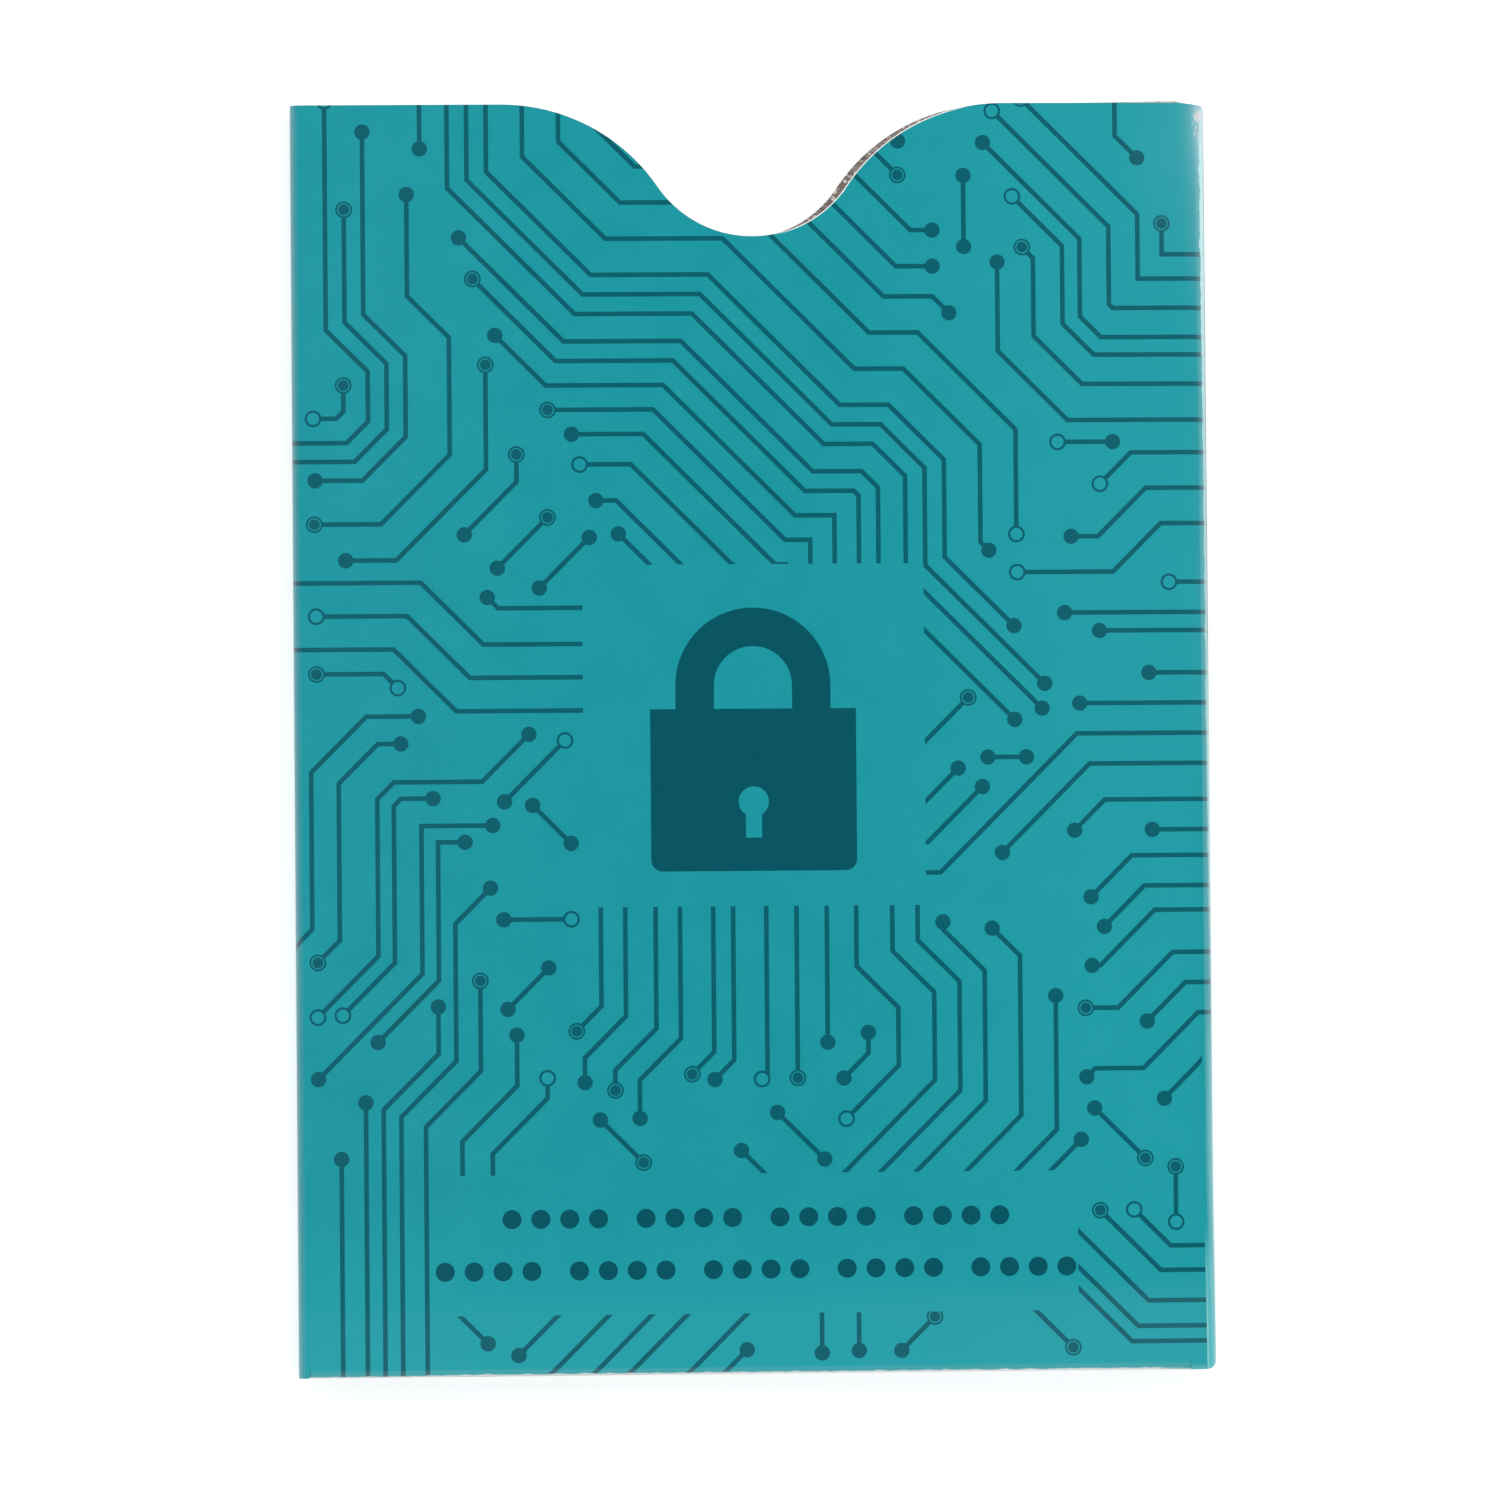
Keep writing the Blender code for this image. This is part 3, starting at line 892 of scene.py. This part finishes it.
def blank_coordinates(tree):
    """The flat blank's own coordinates in millimetres, together and apart."""
    where = add_node(tree, "UVMap", uv_map="blank").outputs["UV"]
    parts = add_node(tree, "SeparateXYZ")
    feed(parts.inputs[0], where)
    return where, parts.outputs[0], parts.outputs[1]


def new_group(name, **inputs):
    """Node group that gives a mask: the group, its inputs inside, and the socket that takes the mask."""
    group = bpy.data.node_groups.new(name, "ShaderNodeTree")
    for label, kind in inputs.items():
        group.interface.new_socket(name=label, in_out="INPUT", socket_type=kind)
    group.interface.new_socket(name="Mask", in_out="OUTPUT", socket_type=FLOAT)
    given, result = group.nodes.new("NodeGroupInput"), group.nodes.new("NodeGroupOutput")
    return group, given.outputs, result.inputs["Mask"]


def use_group(group, where, **given):
    """The mask that a node group gives at some coordinates."""
    node = add_node(where.id_data, "Group", node_tree=group)
    feed_inputs(node, Where=where, **given)
    return node.outputs["Mask"]


# Least size of a speck, as a share of the radius asked for, and where its rim fades
LEAST_SPECK = 0.3
SPECK_RIM = (1.0, 0.55)


def dust_and_glint_group():
    """White specks, one in each of a share of the cells: dust and lint on the film, and painted glints on
    the foil.
    """
    group, given, mask = new_group("dust specks", Where=VECTOR, Cells=FLOAT, Share=FLOAT, Radius=FLOAT)
    cells = add_node(group, "TexVoronoi", feature="F1")
    feed_inputs(cells, Vector=given["Where"], Scale=given["Cells"])
    lot = add_node(group, "SeparateColor")
    feed(lot.inputs[0], cells.outputs["Color"])
    chosen = add_math("LESS_THAN", lot.outputs[0], given["Share"])
    reach = add_math("DIVIDE", cells.outputs["Distance"], given["Radius"])
    size = add_math("DIVIDE", reach, add_sum(lot.outputs[1], LEAST_SPECK))
    feed(mask, add_product(chosen, (size, *SPECK_RIM)))
    return group


# Noises of the grain, a soft one and a fine one: scale beside the one asked for, detail and weight
GRAIN_PARTS = ((1.0, 3.0, 0.65), (9.0, 2.0, 0.35))


def grain_group():
    group, given, mask = new_group("grain", Where=VECTOR, Scale=FLOAT)
    parts = []
    for ratio, detail, weight in GRAIN_PARTS:
        noise = add_noise(given["Where"], add_product(given["Scale"], ratio), detail)
        parts.append(add_product(noise, weight))
    feed(mask, add_sum(*parts))
    return group


# Tones
GROUND_DARK = srgb(26, 150, 160)
GROUND_LIGHT = srgb(32, 155, 165)
# Painted light: a lighter teal of the ground, where more light falls
PAINTED_LIGHT_TEAL = srgb(35, 162, 171)
INK = srgb(8, 86, 100)
# Painted sheen on the film
PAINTED_SHEEN = srgb(205, 240, 250)
FILM_WHITE = srgb(234, 249, 249)
# Painted reflection along the right fold, pale mint
PAINTED_MINT_REFLECTION = srgb(214, 255, 255)
# Painted reflection low on the right fold, a lighter teal
PAINTED_TEAL_REFLECTION = srgb(130, 222, 225)
# Grey of the line along the right fold's outer edge
OUTER_EDGE_GREY = srgb(150, 138, 142)
# Blushed film with a painted highlight
BLUSH_AND_HIGHLIGHT = srgb(238, 228, 230)
# Painted highlight along the left fold
LEFT_FOLD_HIGHLIGHT = srgb(205, 168, 175)
BOARD_LIGHT = srgb(252, 252, 250)
# Painted shade, brown, low on the bottom fold
PAINTED_SHADE_BROWN = srgb(150, 122, 108)
EDGE_SHADOW, EDGE_WHITE = srgb(214, 212, 207), srgb(250, 250, 249)
FOIL_DARK, FOIL_LIGHT = srgb(136, 121, 115), srgb(196, 185, 180)
# Painted glints on the foil, and the pale of its cut edges
FOIL_GLINT, FOIL_EDGE = srgb(255, 244, 230), srgb(238, 230, 222)
GLUE_DARK, GLUE_LIGHT = srgb(186, 176, 148), srgb(236, 230, 209)

# Wear and painted light and shade, in millimetres on the blank or from the crease of its fold. Each pair
# says where it starts or ends, and where it is full.
BARE_RIM = ((-0.04, 0.03), (0.2, 0.08))
BARE_ALONG = (-49.0, -56.0)
BARE_RIM_ALONG = (-52.0, -58.0)
# Painted reflection along the right fold: where it starts across the fold and along it, and the fold's side
# and mouth ends
REFLECTION_RUN = 2.3
REFLECTION_ALONG = (-26.0, -8.0)
RIGHT_FOLD_SIDE_END = (4.9, 4.2)
RIGHT_FOLD_MOUTH_END = (MOUTH - 0.4, MOUTH - 1.1)
# Grey line along the right fold's outer edge
OUTER_GREY_RUNS = ((3.1, 3.35), (4.2, 3.8))
OUTER_GREY_ALONG = (-10.0, 15.0)
# Painted reflection low on the right fold
TEAL_REFLECTION_RUN = (1.9, 2.7)
TEAL_REFLECTION_ALONG = (-26.0, -36.0)
WRINKLE_LEFT, WRINKLE_RIGHT = (45.5, 46.1), (47.3, 46.8)
WRINKLE_FOOT, WRINKLE_MOUTH = (60.0, 62.0), (64.7, 64.2)
# Blush of the film with a painted highlight: its middle and reach
BLUSH_HIGHLIGHT_PLACE = (46.55, 63.5)
BLUSH_HIGHLIGHT_REACH = (0.75, 0.4)
CRACK_RUN = 1.06
CRACK_END = (2.2, 1.8)
CRACK_RIGHT_END = (44.0, 40.0)
# Painted highlight along the left fold: where it starts and ends
LEFT_HIGHLIGHT_START = (LEFT_CREASE - 0.3, LEFT_CREASE - 1.0)
LEFT_HIGHLIGHT_END = (LEFT_CREASE - 3.0, LEFT_CREASE - 2.0)
CUT_GAP = (0.12, 0.06)
CUT_ACROSS = ((2.0, 5.0), (23.0, 20.0))
CUT_ALONG = (MOUTH - 14.5, MOUTH - 14.0)
# Where the teal painted over the shade beside the slits reaches
SLIT_TEAL_REACH = (0.3, 0.2)
SLIT_TEAL_ALONG = (FOOT_CREASE + 0.4, FOOT_CREASE)


def right_fold_marks(where, u, v):
    """Marks along the right fold: a pale mint band painted as a reflection, with a ragged edge and a painted
    highlight along the rim of its bare band; lighter teal painted as a reflection low down; and a grey line
    along its outer edge.
    """
    run = add_math("SUBTRACT", u, RIGHT_CREASE)
    ragged = add_math("SUBTRACT", add_noise(where, 0.9, 5.0, (1.0, 0.45, 1.0)), 0.5)
    frayed = add_math("SUBTRACT", add_noise(where, 2.4, 3.0), 0.55)
    start = add_sum(REFLECTION_RUN, add_product((v, 55.0, 20.0), 0.2), add_product((v, 20.0, -15.0), 0.15),
                    add_product(ragged, 0.75, (v, -45.0, -15.0)), add_product(frayed, 0.6, (v, 36.0, 50.0)))
    reach = add_math("SUBTRACT", run, start)
    side = add_product((run, *RIGHT_FOLD_SIDE_END), (v, *RIGHT_FOLD_MOUTH_END))
    amount = add_sum(0.45, add_product((v, 20.0, 52.0), 0.33))
    # Pale mint painted as a reflection of the white floor on the fold's outer side
    mint_reflection = add_product((reach, 0.0, 0.12), side, (v, *REFLECTION_ALONG), amount)
    # Grey line along the fold's outer edge
    outer_grey = add_product((run, *OUTER_GREY_RUNS[0]), (run, *OUTER_GREY_RUNS[1]), side, (v, *OUTER_GREY_ALONG), 0.85)
    # Lighter teal painted as a reflection low on the fold, and on its bare band near the foot
    teal_reflection = add_product((run, *TEAL_REFLECTION_RUN), side, (v, *TEAL_REFLECTION_ALONG), 0.3)
    bare = add_math("SUBTRACT", run, BARE_RUN)
    bare_band_reflection = add_product((bare, 0.0, 0.08), side, (v, *BARE_ALONG), 0.42)
    # Painted highlight along the rim of the bare band
    rim = add_product((bare, *BARE_RIM[0]), (bare, *BARE_RIM[1]), (v, *BARE_RIM_ALONG),
                      (ragged, -0.2, 0.1), 0.3)
    return add_largest(mint_reflection, rim), add_largest(teal_reflection, bare_band_reflection), outer_grey


def corner_wrinkles(where, u, v):
    """Wrinkled film at the right corner of the mouth: where it is, its ridges, its blush with a painted
    highlight, and a painted sheen towards the fold and the mouth.
    """
    near = add_product((u, *WRINKLE_LEFT), (u, *WRINKLE_RIGHT), (v, *WRINKLE_FOOT), (v, *WRINKLE_MOUTH))
    wrinkled = add_noise(where, 1.9, 4.0, (1.8, 0.5, 1.0), (3.0, 1.0, 0.0))
    # Blush of the wrinkled film, with a painted highlight
    blush_and_highlight = add_product((add_distance(where, BLUSH_HIGHLIGHT_PLACE), *BLUSH_HIGHLIGHT_REACH),
                        add_mix_value(add_step(wrinkled, 0.4, 0.55), 0.45, 0.85))
    off_vein = add_math("ABSOLUTE", add_math("SUBTRACT", wrinkled, 0.5))
    ridges = add_step(off_vein, 0.06, 0.0)
    # Painted sheen, growing towards the right fold and towards the mouth
    wide = add_product((u, 37.0, 45.5), (v, 44.0, 62.0), 0.03)
    edge = add_math("POWER", add_step(u, 42.5, 47.5), 3.0)
    rise = add_sum(add_product((v, 38.0, 56.0), 0.16), add_product((v, 54.0, 65.0), 0.4),
                   add_product((v, -10.0, 18.0), 0.045))
    return near, ridges, blush_and_highlight, add_sum(wide, add_product(edge, rise))


def cracked_and_shaded_foot(where, u, v):
    """Print cracked open along the bottom fold: pale board, and brown shade painted at its lower edge."""
    run = add_math("SUBTRACT", FOOT_CREASE, v)
    ragged = add_math("SUBTRACT", add_noise(where, 0.7, 6.0, (1.0, 0.4, 1.0)), 0.5)
    start = add_sum(CRACK_RUN, add_product(ragged, 0.6), add_product((u, -30.0, -36.0), 0.15))
    reach = add_math("SUBTRACT", run, start)
    pale = add_product((reach, -0.1, 0.2), (run, *CRACK_END), (u, *CRACK_RIGHT_END))
    # Painted brown shade below the crack, strongest on the left
    amount = add_mix_value(add_step(u, -32.0, 10.0), 0.7, 0.1)
    return pale, add_product((reach, 0.26, 0.46), (run, *CRACK_END), amount)


def painted_film_sheen(where, u, v):
    """Pale sheen painted on the film: low on the front panel, with a soft upper border, and towards both
    sides.
    """
    swell = add_product(add_noise(where, 0.06, 1.0), 3.0)
    border = add_sum(v, add_product(u, -0.02), swell)
    amount = add_mix_value(add_step(u, 0.0, 44.0), 0.008, 0.02)
    low = add_product((border, -54.6, -57.4), amount)
    side = add_product((u, 14.0, 46.0), (v, -30.0, 10.0), 0.006)
    left = add_product((u, -12.0, -40.0), 0.006)
    corner = add_product((u, 44.0, 44.6), (v, FOOT + 0.6, FOOT + 0.2), 0.12)
    return add_sum(low, side, left, corner)


def cut_slope(where, u, v):
    """White of the card along the right slope of the notch, where the die broke the print away."""
    floor_centre = (0.0, MOUTH - NOTCH_DEPTH + NOTCH_FLOOR_RADIUS)
    shoulder_centre = (NOTCH_HALF_WIDTH, MOUTH - NOTCH_SHOULDER_RADIUS)
    centred = add_mapping(where, (1 / NOTCH_STRETCH, 1.0, 1.0), (-NOTCH_SHIFT / NOTCH_STRETCH, 0.0, 0.0))
    by_floor = add_math("SUBTRACT", add_distance(centred, floor_centre), NOTCH_FLOOR_RADIUS)
    by_shoulder = add_math("SUBTRACT", NOTCH_SHOULDER_RADIUS, add_distance(centred, shoulder_centre))
    on_shoulder = add_math("GREATER_THAN", u, NOTCH_FLOOR_REACH)
    gap = add_mix_value(on_shoulder, by_floor, by_shoulder)
    return add_product((gap, *CUT_GAP), *((u, *ends) for ends in CUT_ACROSS), (v, *CUT_ALONG))


def print_material(dust_and_glints, grain):
    """Gloss film over the print, with its wear and its painted light and shade laid over it in turn."""
    material, tree, shader = new_material("printed film")
    where, u, v = blank_coordinates(tree)
    ink = add_node(tree, "Attribute", attribute_name="ink").outputs["Fac"]
    mottle = use_group(grain, where, Scale=0.16)
    ground = add_mix(add_step(mottle, 0.3, 0.7), GROUND_DARK, GROUND_LIGHT)
    # Painted light: the ground turns to the lighter teal towards the foot and towards the right side
    painted_light = add_largest((v, -44.0, -66.0), add_product((u, 0.0, 40.0), 0.6))
    ground = add_mix(painted_light, ground, PAINTED_LIGHT_TEAL)
    pale, shade = cracked_and_shaded_foot(where, u, v)
    mint_reflection, teal_reflection, outer_grey = right_fold_marks(where, u, v)
    near, ridges, blush_and_highlight, corner_sheen = corner_wrinkles(where, u, v)
    specks = use_group(dust_and_glints, where, Cells=0.11, Share=0.3, Radius=0.014)
    cut = cut_slope(where, u, v)
    layers = (
        (ink, INK),
        (add_product(pale, 0.82), BOARD_LIGHT),
        # Painted shade
        (shade, PAINTED_SHADE_BROWN),
        # Painted highlight along the left fold
        (add_product((u, *LEFT_HIGHLIGHT_START), (u, *LEFT_HIGHLIGHT_END), 0.115), LEFT_FOLD_HIGHLIGHT),
        # Painted sheen
        (painted_film_sheen(where, u, v), PAINTED_SHEEN),
        (teal_reflection, PAINTED_TEAL_REFLECTION),
        (mint_reflection, PAINTED_MINT_REFLECTION),
        (outer_grey, OUTER_EDGE_GREY),
        (corner_sheen, PAINTED_SHEEN),
        (blush_and_highlight, BLUSH_AND_HIGHLIGHT),
        # White on the ridges: whitened film with painted glints
        (add_product(near, ridges, 0.85), FILM_WHITE),
        (add_product(specks, 0.4), FILM_WHITE),
        (cut, BOARD_LIGHT),
    )
    colour = ground
    for share, tone in layers:
        colour = add_mix(share, colour, tone)
    rough = add_largest(add_product(mint_reflection, 0.5), add_product(cut, 0.8), outer_grey,
                        add_product(pale, 0.7), 0.09)
    feed_inputs(shader, Base_Color=colour, Roughness=rough)
    waves = add_product(add_noise(where, 0.22, 2.0), 0.35)
    peel = add_product(add_noise(where, 2.2, 3.0), 0.03)
    add_bump(add_sum(waves, peel, add_product(near, ridges, 1.6)), 0.00003, shader)
    return material


def board_material(grain):
    """White card at the cut edges, with the lit teal of the print painted on it along the slits beside the
    bottom fold, lightening the shade there.
    """
    material, tree, shader = new_material("white board edge")
    where = add_node(tree, "TexCoord").outputs["Object"]
    fibres = use_group(grain, where, Scale=2500.0)
    _, u, v = blank_coordinates(tree)
    from_left, from_right = (add_math("ABSOLUTE", add_math("SUBTRACT", u, crease))
                             for crease in (LEFT_CREASE, RIGHT_CREASE))
    from_slits = add_math("MINIMUM", from_left, from_right)
    # Teal painted on the board beside the slits, where the walls lie in shade
    teal_over_shade = add_product((from_slits, *SLIT_TEAL_REACH), (v, *SLIT_TEAL_ALONG))
    board = add_mix(fibres, EDGE_SHADOW, EDGE_WHITE)
    feed_inputs(shader, Base_Color=add_mix(teal_over_shade, board, PAINTED_LIGHT_TEAL), Roughness=0.85)
    add_bump(fibres, 0.00002, shader)
    return material


def foil_material(dust_and_glints, grain):
    """Crinkled foil, brownish grey and streaked, with painted glints and pale cut edges."""
    material, tree, shader = new_material("foil lining")
    where, _, v = blank_coordinates(tree)
    mottle = use_group(grain, where, Scale=0.8)
    streaks = add_noise(where, 1.5, 4.0, (1.0, 3.0, 1.0))
    tone = add_sum(add_product(mottle, 0.4), add_product(streaks, 0.6))
    # Painted glints, white and not metallic
    glints = use_group(dust_and_glints, where, Cells=1.6, Share=0.75, Radius=0.42)
    edges = add_largest((v, MOUTH - 0.1, MOUTH), (v, FOOT + 0.6, FOOT + 0.4))
    colour = add_mix(add_step(tone, 0.38, 0.62), FOIL_DARK, FOIL_LIGHT)
    colour = add_mix(glints, colour, FOIL_GLINT)
    feed_inputs(shader, Base_Color=add_mix(edges, colour, FOIL_EDGE),
                Metallic=add_mix_value(add_largest(glints, edges), 0.5, 0.0),
                Roughness=add_sum(add_product(tone, 0.25), 0.25))
    add_bump(add_sum(add_noise(where, 1.6, 5.0), glints), 0.0001, shader)
    return material


def glue_material(grain):
    material, tree, shader = new_material("dry glue")
    where = add_node(tree, "TexCoord").outputs["Object"]
    beads = use_group(grain, where, Scale=500.0)
    feed_inputs(shader, Base_Color=add_mix(beads, GLUE_DARK, GLUE_LIGHT),
                Roughness=add_sum(add_product(beads, 0.3), 0.3))
    add_bump(beads, 0.0001, shader)
    return material


# Pieces

CARD_NODES = ("front_panel", "left_fold", "back_panel", "right_fold", "side_glue_flap", "bottom_fold",
              "bottom_glue_flap")
FOIL_NODES = ("front_foil", "left_fold_foil", "back_foil", "right_fold_foil", "side_flap_foil",
              "bottom_fold_foil", "bottom_flap_foil")
GLUE_NODES = ("side_glue_line", "bottom_glue_line")


def add_cover():
    outline, lines = blank_outline(), fold_lines()
    printed = cut_sheet(outline, lines, print_shapes())
    edge = [printed[0][corner] for corner in boundary_loop(printed[1])]
    dust_and_glints, grain = dust_and_glint_group(), grain_group()
    finishes = (print_material(dust_and_glints, grain), board_material(grain))
    card = make_sheet("printed_card_blank", printed, cut_sheet(edge, lines, []), 0, CARD, finishes)
    plain = cut_sheet(outline, lines, [])
    foil_finish = foil_material(dust_and_glints, grain)
    foil = make_sheet("foil_lining_sheet", plain, plain, FOIL_TOP, FOIL_BOTTOM, (foil_finish, foil_finish))
    for piece, nodes, slot in ((card, CARD_NODES, "printed_card"), (foil, FOIL_NODES, "foil_lining")):
        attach(piece, "root")
        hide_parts(*nodes)
    glue = glue_material(grain)
    for name in GLUE_NODES:
        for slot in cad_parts[name].material_slots:
            slot.material = glue


# Stage

FLOOR_SIZE = 4.0
FLOOR_DROP = 0.0002
FLOOR_GRAIN = (40.0, 2.0)
FLOOR_GREYS = ((0.80, 0.80, 0.80), (0.82, 0.82, 0.82))
FLOOR_GLOW = 0.46


def shown_rays(tree):
    """1 for the rays that show the pale backdrop, seen straight, mirrored or through something clear."""
    path = add_node(tree, "LightPath").outputs
    return add_largest(path["Is Camera Ray"], path["Is Glossy Ray"], path["Is Transmission Ray"])


def add_floor():
    bpy.ops.mesh.primitive_plane_add(size=FLOOR_SIZE, location=(0, 0, -FLOOR_DROP))
    floor = bpy.context.object
    floor.name = "floor"
    bpy.ops.object.transform_apply(location=True, rotation=True, scale=True)
    material, tree, shader = new_material("white floor")
    grain = add_noise(add_node(tree, "TexCoord").outputs["Object"], *FLOOR_GRAIN)
    feed_inputs(shader, Base_Color=add_mix(grain, *FLOOR_GREYS), Roughness=1.0, Specular_IOR_Level=0.0,
                Emission_Color=(1.0, 1.0, 1.0), Emission_Strength=add_product(shown_rays(tree), FLOOR_GLOW))
    floor.data.materials.append(material)


# World: plain light all round, and white where it shows, but for a dark strip over the cover, whose ends
# are given as shares of the height and which fades out near the horizon
SKY_LIGHT = 0.85
STRIP_FOOT = (-1.0, -0.044)
STRIP_MOUTH = (0.40, 0.20)
STRIP_RISE = (0.08, 0.2)
LEAST_HEIGHT = 0.001


def add_world():
    world = bpy.data.worlds.new("studio")
    bpy.context.scene.world = world
    world.use_nodes = True
    tree = world.node_tree
    direction = add_node(tree, "SeparateXYZ")
    feed(direction.inputs[0], add_node(tree, "TexCoord").outputs["Generated"])
    height = add_largest(direction.outputs[2], LEAST_HEIGHT)
    along = add_math("DIVIDE", direction.outputs[1], height)
    strip = add_product((along, *STRIP_FOOT), (along, *STRIP_MOUTH), (height, *STRIP_RISE))
    strength = add_mix_value(shown_rays(tree), SKY_LIGHT, add_math("SUBTRACT", 1.0, strip))
    feed_inputs(tree.nodes["Background"], Color=(1.0, 1.0, 1.0), Strength=strength)


# Two softboxes that look at the cover: name, place in metres and power
SOFTBOX_SIZE = 0.6
SOFTBOXES = (
    ("softbox at the mouth", (0.3, 0.6, 0.9), 1.6),
    ("softbox at the left of the mouth", (-0.35, 0.6, 0.9), 1.4),
)


def add_lamps():
    for name, place, power in SOFTBOXES:
        bpy.ops.object.light_add(type="AREA", location=place)
        lamp = bpy.context.object
        lamp.name = name
        lamp.data.shape = "RECTANGLE"
        lamp.data.size = lamp.data.size_y = SOFTBOX_SIZE
        lamp.data.energy = power
        lamp.rotation_euler = (-Vector(place)).to_track_quat("-Z", "Y").to_euler()


# Camera, fitted to the photo: places in metres, tilts about x and y and roll in degrees, lens in millimetres
CAMERA_TARGET = (-0.00027, -0.00126, 0.003)
CAMERA_TILT = (1.34, -3.42, -0.486)
CAMERA_DISTANCE = 1.0
CAMERA_LENS = 233.9
CAMERA_SENSOR = 36.0
CAMERA_NEAR = 0.01


def add_camera():
    tilt_x, tilt_y, roll = (math.radians(angle) for angle in CAMERA_TILT)
    turn = Matrix.Rotation(tilt_y, 3, "Y") @ Matrix.Rotation(tilt_x, 3, "X") @ Matrix.Rotation(roll, 3, "Z")
    place = Vector(CAMERA_TARGET) + turn @ Vector((0, 0, CAMERA_DISTANCE))
    bpy.ops.object.camera_add(location=place, rotation=turn.to_euler())
    camera = bpy.context.object
    camera.data.sensor_width = CAMERA_SENSOR
    camera.data.lens = CAMERA_LENS
    camera.data.clip_start = CAMERA_NEAR
    bpy.context.scene.camera = camera


bpy.ops.object.select_all(action="DESELECT")
bpy.context.scene.view_settings.view_transform = "Standard"
add_cover()
add_floor()
add_world()
add_lamps()
add_camera()
